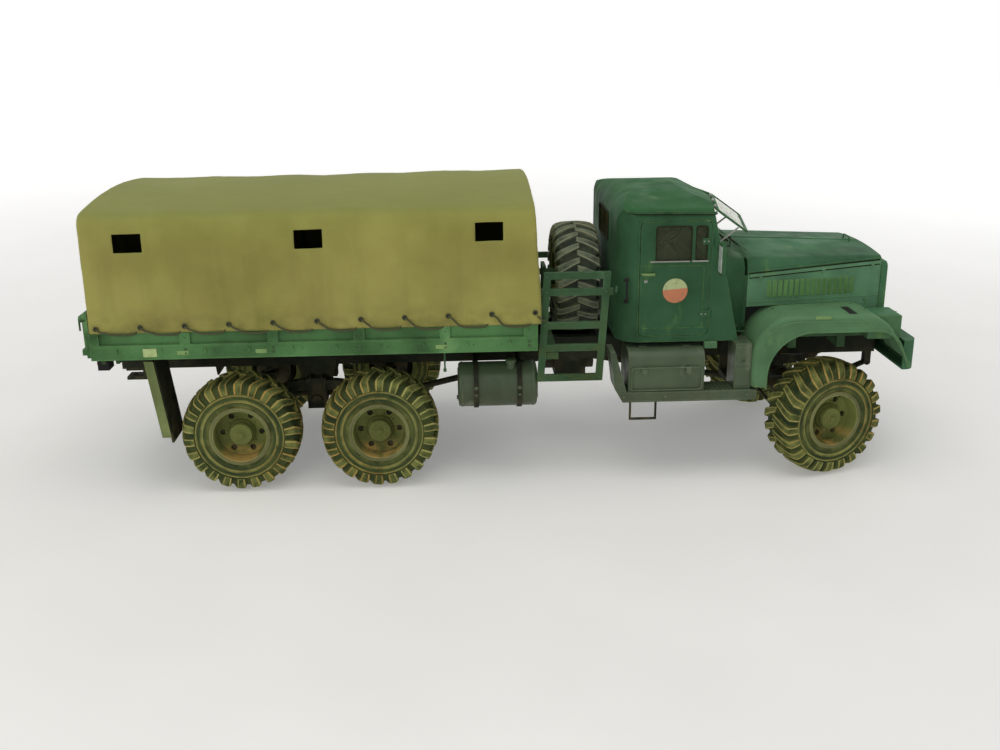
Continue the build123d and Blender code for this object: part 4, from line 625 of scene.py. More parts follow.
def wheel_trim(piece, side):
    """Nuts, hub cap and valve on the outer face of a wheel's disc."""
    out = (0, side, 0)
    count, radius, reach = NUTS
    for n in range(count):
        piece.bolt(on_wheel(radius, side * reach, 2 * math.pi * (n + 0.5) / count), out, 1.15, 1.6)
    piece.lathe(HUB_CAP, CENTRE, out, 32)
    count, radius, reach = HUB_RIVETS
    for n in range(count):
        piece.rivet(on_wheel(radius, side * reach, 2 * math.pi * n / count), out, 0.9)
    piece.tube((on_wheel(24.4, side * 7, 0.5), on_wheel(23.4, side * 13, 0.5)), 0.8, 6)


def wheel(place, side, tyre_name, trim_name, ring_name, tyre_node, rubber, body):
    """A treaded tyre in place of the plain one, the disc's trim, and the bead round the rim's edge."""
    piece = Piece(place)
    tyre(piece)
    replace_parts(piece.finish(tyre_name, rubber, body, "tyre_rubber"), tyre_node)
    piece = Piece(place)
    wheel_trim(piece, side)
    piece.finish(trim_name, "rim_brown", body)
    piece = Piece(place)
    piece.lathe(RIM_BEAD, CENTRE, (0, side, 0), 72, hollow=True)
    piece.finish(ring_name, "rim_edge", body, "rim_brown")


for row, x in (("front", FRONT_AXLE_X), ("middle", MIDDLE_X), ("rear", REAR_X)):
    for hand, side in SIDES:
        name, place = f"{row}_{hand}", wheel_place(x, side)
        names = [f"treaded_tyre_{name}", f"wheel_trim_{name}", f"wheel_ring_{name}", f"tyre_{name}"]
        wheel(place, side, *names, "tyre_rubber", f"wheel_{name}")
        # The drum closes the disc's holes
        piece = Piece(place)
        piece.lathe(DRUM, CENTRE, (0, side, 0), 48, hollow=True)
        piece.finish(f"brake_drum_{name}", "chassis_black", f"wheel_{name}")
spare_place = Matrix.Translation((SPARE_X, 0, SPARE_Z)) @ Matrix.Rotation(math.radians(90), 4, "Z")
names = ["treaded_spare_tyre", "spare_wheel_trim", "spare_wheel_ring", "spare_tyre"]
wheel(spare_place, -1, *names, "spare_rubber", CHASSIS)

# Tarpaulin: one sheet over the bows, with its windows left open in the grid
BED_REAR_X = -407.0
COVER_FRONT_X = 31.6
COVER_HALF, HEM_Z = 136.9, 170.8
EAVE_HALF, EAVE_Z = 132.5, 285.0
CROWNS = (295.5, 301.5)
EAVE_START_Z = 274.5
EAVE_END_Y = 119.5
CORNER = 4.0
CLOTH = 0.9
# Middle X and height of each window, from the rear
WINDOWS = ((-361.0, 258.0), (-190.0, 259.0), (-17.0, 263.0))
WINDOW_HALF = (13.5, 9.0)
BELOW_WINDOW, IN_WINDOW, OVER_WINDOW = 30, 6, 3
EAVE_STEPS, ROOF_STEPS = 7, 28
END_COLUMNS = 44
BOW_FIRST_X, BOW_PITCH = -403.6, 85.5
# Heights between which the cloth turns from wall to roof: its folds, and the way that they stand out
FOLDS_TURN, OUT_TURNS = (272, 288), (277, 286)
HEM_REACH = 24
MOST_RISE = 2.6
COLUMN_WIDTH = 3.0
GROMMET_PITCH = 42.6
GROMMETS_X = [-399.0 + GROMMET_PITCH * n for n in range(11)]


def between(x, low, high):
    return min(max((x - low) / (high - low), 0.0), 1.0)


def smooth(t):
    return t * t * (3 - 2 * t)


def cover_y(z):
    return COVER_HALF + (EAVE_HALF - COVER_HALF) * (z - HEM_Z) / (EAVE_Z - HEM_Z)


def window_height(x):
    for (x0, z0), (x1, z1) in zip(WINDOWS, WINDOWS[1:]):
        if x < x1:
            return z0 + (z1 - z0) * between(x, x0, x1)
    return WINDOWS[-1][1]


def cover_section(x):
    """The cover's half section at x, as (Y, Z) pairs from its right hem to its ridge."""
    crown = CROWNS[0] + (CROWNS[1] - CROWNS[0]) * between(x, BED_REAR_X, COVER_FRONT_X)
    middle = window_height(x)
    levels = (HEM_Z, middle - WINDOW_HALF[1], middle + WINDOW_HALF[1], EAVE_START_Z)
    points = []
    for low, high, count in zip(levels, levels[1:], (BELOW_WINDOW, IN_WINDOW, OVER_WINDOW)):
        heights = [low + (high - low) * k / count for k in range(count)]
        points += [(-cover_y(z), z) for z in heights]

    def roof_z(y):
        return EAVE_Z + (crown - EAVE_Z) * (1 - (y / EAVE_HALF) ** 2)

    corner = Vector((-EAVE_HALF, EAVE_Z + 0.5))
    first = Vector((-cover_y(EAVE_START_Z), EAVE_START_Z))
    last = Vector((-EAVE_END_Y, roof_z(EAVE_END_Y)))
    for t in (k / EAVE_STEPS for k in range(EAVE_STEPS)):
        points.append(tuple(first * (1 - t) ** 2 + corner * (2 * t * (1 - t)) + last * t ** 2))
    across = [EAVE_END_Y * (1 - k / ROOF_STEPS) for k in range(ROOF_STEPS + 1)]
    return points + [(-y, roof_z(y)) for y in across]


def cover_stations():
    """X of each column of the grid with its inset, rounding the corners at both ends."""
    turns = [math.pi / 2 * k / 5 for k in range(6)]
    rounding = [(CORNER * (1 - math.cos(a)), CORNER * (1 - math.sin(a))) for a in turns]
    stations = [(BED_REAR_X + dx, inset) for dx, inset in rounding]
    stops = [BED_REAR_X + CORNER]
    for x, _ in WINDOWS:
        stops += [x - WINDOW_HALF[0], x + WINDOW_HALF[0]]
    stops.append(COVER_FRONT_X - CORNER)
    for low, high in zip(stops, stops[1:]):
        count = round((high - low) / COLUMN_WIDTH)
        stations += [(low + (high - low) * (k + 1) / count, 0) for k in range(count)]
    return stations + [(COVER_FRONT_X - dx, inset) for dx, inset in reversed(rounding[:-1])]


def front_lean(x, z):
    """How far the cover's front end stands out at its hem and leans back at its top."""
    lean = 2.0 - 6.0 * smooth(between(z, HEM_Z, CROWNS[1]))
    return lean * smooth(between(x, 5, COVER_FRONT_X))


def cloth_rise(p):
    """How far the cloth stands out at p: held at its bows, slack between them, with soft folds."""
    slack = math.sin(math.pi * (((p.x - BOW_FIRST_X) / BOW_PITCH) % 1.0)) ** 2
    roof = smooth(between(p.z, *FOLDS_TURN))
    rise = -1.5 * slack * roof - 0.7 * slack * (1 - roof)
    rise += (0.5 + 1.0 * slack) * noise.noise(Vector((p.x / 60, p.y / 75, p.z / 42)))
    slanted = Vector(((p.x + 0.45 * p.z) / 22, p.y / 60, p.z / 75))
    rise += (0.5 + 0.6 * slack) * noise.noise(slanted) * (1 - 0.5 * roof)
    rise += 0.25 * noise.noise(Vector((p.x / 8, p.y / 9, p.z / 11 + 5)))
    hem = (1 - between(p.z, HEM_Z, HEM_Z + HEM_REACH)) ** 2
    rise += hem * (1.1 * math.sin(math.pi * (p.x - GROMMETS_X[0]) / GROMMET_PITCH) ** 2 - 0.1)
    free = smooth(between(slack, 0.02, 0.3))
    lowest = -0.6 * (1 - free) - 2.6 * free * smooth(between(p.z, 190, 205)) - 0.5 * free
    return max(lowest, min(rise, MOST_RISE))


def in_window(x, row):
    if not BELOW_WINDOW <= row < BELOW_WINDOW + IN_WINDOW:
        return False
    return any(abs(x - middle) < WINDOW_HALF[0] for middle, _ in WINDOWS)


def cover_walls(stations):
    """The grid round the cover's section: its points, their seam marks, and its faces."""
    count = 2 * len(cover_section(0)) - 1
    points, marks, faces = [], [], []
    for x, inset in stations:
        section = cover_section(x)
        for y, z in section + [(-y, z) for y, z in reversed(section[:-1])]:
            y *= 1 - inset / COVER_HALF
            z -= inset * 0.7 * smooth(between(z, 250, 287))
            p = Vector((x, y, z))
            roof = smooth(between(z, *OUT_TURNS))
            out = Vector((0, math.copysign(1 - roof, y), roof)).normalized()
            end = inset / CORNER
            out = (out * (1 - end) + Vector((math.copysign(1, x), 0, 0)) * end).normalized()
            p += out * cloth_rise(p)
            p.x += front_lean(x, z)
            points.append(p)
            marks.append(1.0 if inset > 0.5 and z > 262 else 0.0)
    for c in range(len(stations) - 1):
        x = (stations[c][0] + stations[c + 1][0]) / 2
        for r in range(count - 1):
            here, ahead = c * count + r, (c + 1) * count + r
            if in_window(x, min(r, count - 2 - r)):
                for n in (here, ahead, here + 1, ahead + 1):
                    marks[n] = 0.25
            else:
                faces.append([here, ahead, ahead + 1, here + 1])
    return points, marks, faces


def cover_end(points, marks, faces, first, count, ahead):
    """Closes one end of the cover between its two halves. ahead is 1 in front and -1 behind."""
    previous = None
    for r in range((count + 1) // 2):
        right, left = first + r, first + count - 1 - r
        line = [right]
        for k in range(1, END_COLUMNS):
            if right == left:
                line.append(right)
                continue
            p = points[right].lerp(points[left], k / END_COLUMNS)
            crown = 1 - smooth(between(p.z, 284, 292))
            bulge = noise.noise(Vector((p.y / 50, p.z / 60, ahead * 3))) * 1.6
            bulge += noise.noise(Vector((p.y / 14, p.z / 55, ahead * 7))) * 0.7
            edge = min(k, END_COLUMNS - k) / END_COLUMNS
            p.x += ahead * crown * smooth(between(edge, 0, 0.12)) * max(bulge, -0.8)
            line.append(len(points))
            points.append(p)
            marks.append(0.8 if abs(k - END_COLUMNS / 2) < 1.1 and ahead < 0 else 0.0)
        line.append(left)
        for k in range(END_COLUMNS if previous else 0):
            face = list(dict.fromkeys([previous[k], previous[k + 1], line[k + 1], line[k]]))
            if len(face) > 2:
                faces.append(face[::ahead])
        previous = line


def tarpaulin():
    """The whole cover as one mesh of single cloth, which a modifier makes as thick as it is."""
    stations = cover_stations()
    points, marks, faces = cover_walls(stations)
    count = len(points) // len(stations)
    for first, ahead in ((0, -1), (len(points) - count, 1)):
        cover_end(points, marks, faces, first, count, ahead)
    mesh = bpy.data.meshes.new("canvas_cover")
    mesh.from_pydata([p * MM for p in points], [], faces)
    mesh.attributes.new("seam", "FLOAT", "POINT").data.foreach_set("value", marks)
    mesh.shade_smooth()
    made = add_object("canvas_cover", mesh)
    mesh.materials.append(MATERIALS["khaki_cloth"])
    thick = made.modifiers.new("thickness", "SOLIDIFY")
    thick.thickness = CLOTH * MM
    thick.offset = -1
    return made


cover = tarpaulin()
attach(cover, CHASSIS)
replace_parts(cover, "tarpaulin")

# Grommets along the hem, and the rope that laces the cover down
GROMMET_HEIGHT = (175.6, 182.6)
EYELET = ((1.5, 0.2), (1.7, 0.7), (2.5, 0.7), (2.8, 0))
ROPE = 0.95
# The rope from one grommet to the next: first along, outward and height over the grommet, and then
# along, outward, height over the hem and share of the sag
LACING_OUT = ((0.0, -1.0, 0), (1.0, 1.5, -0.4), (4.5, 1.7, -3.0))
LACING_BACK = (
    (10.0, 1.8, 1.2, 0), (15.0, 1.6, -0.9, 1), (23.0, 1.4, -1.5, 1), (31.0, 1.2, -1.4, 1),
    (36.5, 0.3, -0.9, 0), (39.5, -1.9, 2.0, 0),
)
CORNER_ROPE = (
    (29, -139.0, 179.5), (33.5, -138.6, 176), (36.4, -134, 173.5), (37.0, -122, 173), (36.6, -108, 176),
)
# Which way an end faces, its X, and the Y of its eyelets
END_EYELETS = (
    (1, COVER_FRONT_X + 3.2, (-108, -54, 0, 54, 108)), (-1, BED_REAR_X - 0.4, (-100, -50, 50, 100)),
)
eyelets, holes, lacing = pieces(3)


def eyelet(at, out):
    eyelets.lathe(EYELET, at, out, 16, hollow=True)
    # A black disc in each eyelet: painted shade where the hole would look dark.
    holes.lathe(((1.6, -0.3), (1.6, 0.45)), at, out, 12)


for side in BOTH:
    for x in GROMMETS_X:
        forward = between(x, GROMMETS_X[0], GROMMETS_X[-1])
        z = GROMMET_HEIGHT[0] + (GROMMET_HEIGHT[1] - GROMMET_HEIGHT[0]) * forward
        y = cover_y(z) + 0.35
        eyelet((x, side * y, z), (0, side, 0))
        if x == GROMMETS_X[-1]:
            continue
        sag = 0.6 * rng.random()
        route = [(x + dx, side * (y + dy), z + dz) for dx, dy, dz in LACING_OUT]
        route += [(x + dx, side * (y + dy), HEM_Z + dz - sag * share) for dx, dy, dz, share in LACING_BACK]
        lacing.tube(route, ROPE)
    lacing.tube([(x, -side * y, z) for x, y, z in CORNER_ROPE], ROPE)
for ahead, x, row in END_EYELETS:
    for y in row:
        eyelet((x, y, 176), (ahead, 0, 0))
eyelets = eyelets.finish("cover_eyelets", "rope", slot="chassis_black")
holes = holes.finish("cover_eyelet_shade", "black_plastic")
lacing = lacing.finish("lacing_rope", "rope", slot="khaki_cloth")

# Cab trim
CAB_HALF = 115.0
CAB_REAR_X = 112.0
# Middle X and width of each door pane, and their shared middle height and half height
DOOR_PANES = ((166.0, 35.0), (193.5, 11.0))
PANE_Z = 244.0
PANE_HALF = 17.0
# Middles of the raised beads round the door's lower panel
DOOR_BEADS_X, DOOR_BEADS_Z = (139, 197), (158, 222)
DISC = ((0.1, 0.0), (12.4, 0.0), (12.5, 0.35), (12.1, 0.5), (0.1, 0.5))
# X and outward reach of the drip rail's stations, from the rear, and its section from that reach
GUTTER = (
    (118.5, 107.0), (122, 110.5), (127, 113.2), (134, 114.4), (204, 114.4), (207, 113.6), (208.6, 111.0),
)
GUTTER_Z = 275.2
GUTTER_FALL = 1.6
GUTTER_SECTION = ((-6, -0.9), (-6, 0.2), (-1, 0.2), (-0.6, 1.2), (0, 1.2), (0, -0.9))
HANDLE_X = 119.5


def outline(middle, width, height, corner, steps=5):
    """The corners of a rounded rectangle as (across, up) pairs."""
    points = []
    for quarter, (a, b) in enumerate(((1, 1), (-1, 1), (-1, -1), (1, -1))):
        for k in range(steps + 1):
            turn = math.pi / 2 * (quarter + k / steps)
            across = a * (width / 2 - corner) + corner * math.cos(turn)
            up = b * (height / 2 - corner) + corner * math.sin(turn)
            points.append((middle[0] + across, middle[1] + up))
    return points


def gasket(piece, x, y, shape, radius):
    """A round bead along an outline. The outline's across runs along whichever of x and y is None."""
    ring = [(a if x is None else x, a if y is None else y, up) for a, up in shape]
    piece.tube(ring + ring[:2], radius, 6)


def door_trim(name, side):
    door, rubber, metal, worn, disc = pieces(5)
    body, y, out = f"door_{name}", side * CAB_HALF, (0, side, 0)
    for x, width in DOOR_PANES:
        gasket(rubber, None, y + side * 0.2, outline((x, PANE_Z), width, 2 * PANE_HALF, 2), 0.75)
    for span in ((142.8, 182.2), (184.6, 201)):
        metal.block(span, (y, y + side * 1.6), (225.6, 226.9), 0.4)
    raised = (y - side * 0.2, y + side * 0.5)
    for z in DOOR_BEADS_Z:
        door.block((136, 200), raised, (z - 0.7, z + 0.7), 0.3)
    for x in DOOR_BEADS_X:
        door.block((x - 0.7, x + 0.7), raised, DOOR_BEADS_Z, 0.3)
    grip = ((135.4, 0), (135.4, 3.2), (147, 3.2), (147, 1.0))
    worn.tube([(x, y + side * dy, 214) for x, dy in grip], 1.3, bends=(1, 1))
    metal.bolt((139, y, 206.5), out, 1.4, 1.2)
    for x, z in product((196.0, 200.0), (172, 246)):
        metal.rivet((x, y + side * 1.5, z), out, 0.8)
    disc.lathe(DISC, (EMBLEM[0], y, EMBLEM[1]), out, 48)
    door.finish(f"door_beads_{name}", "body_green", body)
    rubber.finish(f"door_rubbers_{name}", "black_rubber", body)
    metal.finish(f"door_fittings_{name}", "bright_metal", body, "body_green")
    worn.finish(f"door_handle_{name}", "worn_green", body, "body_green")
    disc.finish(f"door_disc_{name}", "emblem", body, "body_green")


def drip_rail(shell, seams, side):
    """The rail over a door, and the shadow line under it."""
    rail = []
    for x, reach in GUTTER:
        z = GUTTER_Z - GUTTER_FALL * (x - GUTTER[0][0]) / (GUTTER[-1][0] - GUTTER[0][0])
        rail.append([(x, side * (reach + dy), z + dz) for dy, dz in GUTTER_SECTION])
    shell.rings(rail)
    seams.tube([(x, y - side * 0.6, z - 2.6) for x, y, z in (ring[4] for ring in rail)], 0.7)


def grab_handle(trim, side):
    near, far = side * (CAB_HALF - 1), side * (CAB_HALF + 4.5)
    path = [(HANDLE_X, y, z) for y, z in ((near, 208), (far, 208), (far, 187), (near, 187))]
    trim.tube(path, 1.1, bends=(2.5, 2.5))
    for z in (186.6, 208.4):
        trim.lathe(((2.4, -0.4), (2.4, 1.0), (1.6, 1.8)), (HANDLE_X, side * 114.7, z), (0, side, 0), 12)


def cowl_trim(shell, trim, side):
    shell.block((CAB_REAR_X + 19, CAB_REAR_X + 20.4), (side * 114.7, side * 115.6), (147, 270), 0.3)
    shell.block((206, 244), (side * 103.5, side * 104.6), (149, 150.5), 0.3)
    for x in (216, 238):
        shell.bolt((x, side * (115 - (x - 211) * 25 / 34), 153), (0.55, side * 0.83, 0), 1.2)
    trim.tube([(212, side * 103, 239), (222, side * 113, 240), (222, side * 113, 250)], 0.7)


# seams holds the painted shadow lines under the drip rails.
shell, trim, seams, foot = pieces(4)
for name, side in SIDES:
    door_trim(name, side)
    drip_rail(shell, seams, side)
    grab_handle(trim, side)
    cowl_trim(shell, trim, side)
for side in BOTH:
    shell.block((245.2, 248.0), (side * 85, side * 89.4), (150, 204.5), 0.3)
    foot.block((200.5, 213.5), (side * 110, side * 117.5), (136.0, 143.0), 0.6)
    foot.bolt((207, side * 117.5, 139.6), (0, side, 0), 1.2)
shell.finish("cab_beads", "body_green")
seams.finish("cab_gutter_shadows", "black_rubber", slot="body_green")
foot.finish("cab_feet", "fender_green", slot="body_green")
trim.finish("cab_handles", "black_plastic", slot="chassis_black")

# Wipers, and the rear window's rubber
dark = Piece()
gasket(dark, CAB_REAR_X - 0.3, None, outline((0, 248), 70, 30, 4), 1.0)
for side, reach in ((-1, 58), (1, 52)):
    arm = ((228, reach, 236.2), (233, reach, 239.5), (243, reach - 6, 231.5))
    dark.tube([(x, side * y, z) for x, y, z in arm], 0.8)
    dark.lathe(((2.2, 0), (2.2, 2.4), (1.4, 3)), (229, side * reach, 235.2), (0.2, 0, 1), 12)
    dark.block((229.5, 231), (side * (reach - 26), side * (reach + 14)), (236.6, 238.2), 0.3)
dark.finish("wipers_and_rubbers", "black_rubber")

# The open pane's stays and hinges
SCREEN_SIDE_X, SCREEN_MIDDLE_X = 214.0, 234.0
SCREEN_TOP_Z = 275.5
# The pane's middle and half width along the screen
PANE_ALONG, PANE_REACH = 54.5, 46
brace = Piece()
along = Vector((SCREEN_SIDE_X - SCREEN_MIDDLE_X, -CAB_HALF, 0)).normalized()
hinge = Vector((SCREEN_MIDDLE_X - 8.8, 0, SCREEN_TOP_Z)) + along * PANE_ALONG
for offset in (PANE_REACH, -PANE_REACH):
    brace.tube([hinge + along * offset + Vector(at) for at in ((4, 0, -36), (25.5, 0, -19.5))], 1.0)
for offset in (-38, 0, 38):
    brace.lathe(((1.5, -5), (1.5, 5)), hinge + along * offset + Vector((1.2, 0, 0.8)), along, 10)
brace.finish("screen_stays", "bright_metal", slot="chassis_black")

# Mirror faces and clamps
mirror_faces, clamps = pieces(2)
for side in BOTH:
    mirror_faces.block((209.5, 210.2), (side * 121, side * 133), (217, 243), 0.2)
    clamps.lathe(((2.2, -2), (2.2, 2)), (211.5, side * 118.6, 238), (0, side, 0), 12)
    clamps.tube([(211.5, side * 116, 222), (211.5, side * 120, 222)], 1.0)
mirror_faces.finish("mirror_faces", "mirror_face", slot="clear_pane")
clamps.finish("mirror_clamps", "black_plastic", slot="chassis_black")

# Hood: bead and lip on the lid, louvres, a seam line, a painted shadow line and catches on the sides. First
# its ends, and at its rear and front its half width, the height of its sides and the height of the lid's
# ridge.
HOOD_X = (248.0, 394.0)
HOOD_HALF = (90.0, 70.0)
HOOD_EDGE = (207.2, 215.2)
LID_RIDGE = (228.1, 221.5)
# The ledge along the sides' upper edge, as outward and up
LEDGE = ((-0.4, -1.4), (1.3, -1.8), (1.5, -4.6), (-0.4, -5.2))
LOUVRES_X, LOUVRES_Z = [272.0 + 6.0 * n for n in range(16)], 189
# A louvre's slanting face: along and outward from its middle
LOUVRE = ((-1.9, 0.25), (1.2, 1.5), (1.9, 1.3))
# Half width and height of the lid over the cowl, and the section of the lip that closes the gap there
LID_TOP = (
    (79.0, 221.8), (69.8, 223.2), (60.5, 224.4), (51.2, 225.4), (42.0, 226.3), (23.3, 227.5), (0.0, 227.9),
)
LIP = ((248.3, -0.1), (245.4, -0.1), (245.4, -1.6), (248.3, -1.6))


def hood_at(x, ends):
    """The value at x between its values at the hood's rear and front ends."""
    return ends[0] + (ends[1] - ends[0]) * (x - HOOD_X[0]) / (HOOD_X[1] - HOOD_X[0])


def along_hood(side, out, rise, xs):
    """Points along the hood's upper edge, moved outward and up."""
    return [(x, side * (hood_at(x, HOOD_HALF) + out), hood_at(x, HOOD_EDGE) + rise) for x in xs]


lid, side_panels, louvres, fittings, lines, lip = pieces(6)
for side in BOTH:
    slope = Vector((HOOD_X[1] - HOOD_X[0], side * (HOOD_HALF[1] - HOOD_HALF[0]), 0)).normalized()
    out = Vector((-slope.y * side, slope.x * side, 0))
    lid.tube(along_hood(side, 0.2, 1.0, (249, 320, 393)), 1.0)
    for at in along_hood(side, 0, -5, (262, 330, 384)):
        fittings.lathe(((1.6, 0), (1.6, 1.6), (1.0, 2.0)), at, out, 12)
        fittings.bolt(Vector(at) + Vector((0, 0, -4.5)), out, 1.0, 0.8)
    for x in LOUVRES_X:
        at = Matrix.Translation((x, side * hood_at(x, HOOD_HALF), LOUVRES_Z))
        louvres.at = at @ slope.to_track_quat("X", "Z").to_matrix().to_4x4()
        rings = []
        for up, full in ((-9, 0.05), (-8, 1), (8, 1), (9, 0.05)):
            face = [(dx, side * dy * full, up) for dx, dy in LOUVRE]
            rings.append([(-1.9, side * -0.3, up), *face, (1.9, side * -0.3, up)])
        louvres.rings(rings)
    side_panels.tube([(x, side * (hood_at(x, HOOD_HALF) + 0.1), 176.5) for x in (252, 392)], 0.55)
    runs = [along_hood(side, dy, dz, (250.0, 321.0, 392.0)) for dy, dz in LEDGE]
    side_panels.rings([list(ring) for ring in zip(*runs)])
    # Two dark lines along the sides' upper edge: the seam under the lid's edge, and a painted shadow under
    # the ledge.
    for drop in (0.9, 5.7):
        lines.tube(along_hood(side, 0.05, -drop, (250, 392)), 0.55)
    lid.block((249.2, 251.2), (side * 20, side * 74), (227.2, 228.1), 0.3)
lid.tube([(x, 0, hood_at(x, LID_RIDGE)) for x in (250, 321, 392)], 0.8)
lid.tube([(380, y, z) for y, z in ((-9, 221.6), (-9, 227), (9, 227), (9, 221.6))], 0.9, bends=(2.5, 2.5))
arc = [(-y, z) for y, z in LID_TOP] + list(reversed(LID_TOP[:-1]))
lip.rings([[(x, y, z + dz) for x, dz in LIP] for y, z in arc])
louvres.at = Matrix.Identity(4)
lip.finish("hood_rear_lip", "hood_green", "hood", "body_green")
lid.finish("hood_beads", "hood_green", "hood", "body_green")
side_panels.finish("hood_side_beads", "hood_side_green", slot="body_green")
lines.finish("hood_seam_and_shadow_lines", "black_rubber", slot="body_green")
louvres.finish("hood_louvres", "louvre_green", slot="body_green")
fittings.finish("hood_catches", "hood_side_green", slot="body_green")

# Radiator shell: surround bead, cap and cross bars of the guard
front = Piece()
gasket(front, 400.4, None, outline((0, 181), 139, 59, 5), 1.0)
for z in (166, 181, 196):
    front.tube([(400.2, -58, z), (400.2, 58, z)], 0.9)
front.lathe(((4.5, 0), (4.5, 2.2), (3.6, 3.2), (1.0, 3.6)), (397, 0, 211.6), (0, 0, 1), 20)
front.finish("grille_guard", "hood_green", slot="body_green")

# Headlamps: rims, brackets and the small lamps on top
LAMP_X, LAMP_Y, LAMP_Z = 403.0, 96.25, 153.15
# X and Y of the small lamps on the brackets
MARKER = (366, 108)
LAMP_RIM = ((8.8, 0), (10.6, 0), (10.8, 1.4), (10.2, 2.6), (9.0, 2.9), (8.8, 2.2))
rims = Piece()
for side in BOTH:
    rims.lathe(LAMP_RIM, (LAMP_X, side * LAMP_Y, LAMP_Z), (1, 0, 0), 40, hollow=True)
    rims.bolt((LAMP_X + 0.3, side * LAMP_Y, LAMP_Z + 11.2), (1, 0, 0), 0.9, 0.8)
    rims.block((372, 401), (side * 80, side * 113), (164.6, 165.6), 0.4)
    stem = [(MARKER[0], side * MARKER[1], z) for z in (171.3, 181)]
    rims.tube(stem, 0.8)
    top = (MARKER[0], side * MARKER[1], 180)
    rims.lathe(((2.6, 0), (3.0, 1.5), (2.4, 3.4), (1.0, 4.2)), top, (0, 0, 1), 14)
rims.finish("lamp_rims", "hood_green", slot="body_green")

# Fenders: rolled lips along the arches, a bead over them, a black block painted as the shade of a slot, and
# bolts
ARCH_X = 329.0
ARCH = ((-68.0, 97.0), (-68.0, 155.5), (61.0, 155.5), (77.0, 116.5))
OVER_ARCH = ((-77, 104), (-77, 166.0), (48.5, 166.0), (78, 120))
lips, slot_shade, patches = pieces(3)
for side in BOTH:
    lips.tube([(ARCH_X + x, side * 134.6, z) for x, z in ARCH], 1.2, bends=(46, 28), steps=10)
    lips.tube([(ARCH_X + x, side * 134.9, z) for x, z in OVER_ARCH], 0.6, bends=(38, 36), steps=10)
    for x in (-30, 0, 30):
        lips.bolt((ARCH_X + x, side * 84, 171.5), (0, 0, 1), 1.2, 0.9)
    for x in (-54, -18, 18):
        lips.bolt((ARCH_X + x, side * 93, 171.4), (0, 0, 1), 1.0, 0.7)
    # A black block on the fender's top: painted shade where a slot's opening would be.
    slot_shade.block((344, 352), (side * 98, side * 127), (169.5, 171.8), 0.3)
    patches.block((307, 323), (side * 133.2, side * 135.0), (168.5, 171.6), 0.5)
lips.finish("fender_beads", "fender_green", slot="body_green")
patches.finish("fender_patches", "worn_green", slot="body_green")
slot_shade.finish("fender_slot_shade", "black_plastic", slot="body_green")

# Bumper: bolts and two towing hooks on their plates
bar = Piece()
for y in (-96, -60, -32, 32, 60, 96):
    bar.bolt((417.4, y, 125.5), (1, 0, 0), 1.8, 1.4)
for y in (-40, 40):
    bar.block((404, 417.2), (y - 7, y + 7), (141, 143.6), 0.6)
    bar.tube([(407, y, 143), (407, y, 150), (415.5, y, 150), (415.5, y, 144.5)], 1.6, bends=(3, 3))
bar.finish("bumper_fittings", "hood_green", slot="body_green")

# Bed: rail beads, rope hooks, the straps' bolts, reflectors and gate posts
BED_HALF = 136.9
BED_X = (BED_REAR_X, 29.6)
STRAPS_X = (-315.0, -230.0, -146.0, -62.0, 21.0)
beads, bolts, dabs, marks, rear = pieces(5)
for side in BOTH:
    y, out = side * BED_HALF, (0, side, 0)
    beads.block(BED_X, (y - side * 0.8, y + side * 0.5), (156.2, 158.9), 0.5)
    beads.block(BED_X, (y - side * 0.8, y + side * 0.4), (143.6, 145.4), 0.4)
    for x in STRAPS_X:
        for z in (149.5, 153.5):
            bolts.bolt((x, y, z), out, 1.1, 0.9)
        bolts.rivet((x, y, 165.5), out, 1.0)
        for dx in (-28, 28):
            if BED_X[0] < x + dx < BED_X[1] - 6:
                bolts.rivet((x + dx, y, 151.5), out, 0.9)
    for x in (x + 18 for x in GROMMETS_X[:-1]):
        hook = [(x, y, 154), (x, y + side * 2.2, 154), (x, y + side * 2.2, 150.5)]
        beads.tube(hook, 0.6, 6, bends=(1.2,), steps=3)
    dabs.block((-356.5, -343), (y, y + side * 0.8), (146.5, 155), 0.4)
    for x in (-318, -242, -66):
        marks.block((x - 5.5, x + 5.5), (y, y + side * 0.7), (148.2, 152.2), 0.4)
    bolts.tube([(-63, side * 129, 143.8), (-63, side * 129, 124)], 0.9)
    bolts.lathe(((1.6, 0), (1.6, 3)), (-63, side * 129, 122), (0, 0, 1), 8)
    for x in (-398, -384):
        bolts.block((x - 2, x + 2), (side * 112, side * 130), (138, 143.8), 0.5)
    post = [(x, side * 134.9, z) for x, z in ((-409.5, 184), (-414.5, 184), (-414.5, 174))]
    rear.tube(post, 1.0, bends=(2,), steps=4)
beads.finish("bed_beads", "bed_green")
bolts.finish("bed_bolts", "carrier_green", slot="bed_green")
dabs.finish("bed_reflectors", "reflector", slot="bed_green")
marks.finish("bed_pads", "worn_green", slot="bed_green")
rear.finish("gate_posts", "carrier_green", slot="bed_green")

# Tailgate: rivets, hinge knuckles, catches and pressed panels
gate = Piece()
for y in (-110, -40, 40, 110):
    for z in (152, 168, 178):
        gate.rivet((-418.4, y, z), (-1, 0, 0), 1.6)
    gate.lathe(((2.2, -6), (2.2, 6)), (-410.6, y, 146.4), (0, 1, 0), 12)
for side in BOTH:
    gate.block((-414.2, -411.2), (side * 124, side * 131), (181, 187), 0.5)
    gate.tube([(-413.5, side * 127, 184), (-417.4, side * 127, 184), (-417.4, side * 127, 177)], 0.9)
for y0, y1 in ((-104, -46), (-34, 34), (46, 104)):
    panel = [(-411.6, y, z) for y, z in ((y0, 160), (y0, 178), (y1, 178), (y1, 160), (y0, 160))]
    gate.tube(panel, 0.6, bends=(3, 3, 3))
gate.finish("tailgate_fittings", "bed_green", "tailgate")

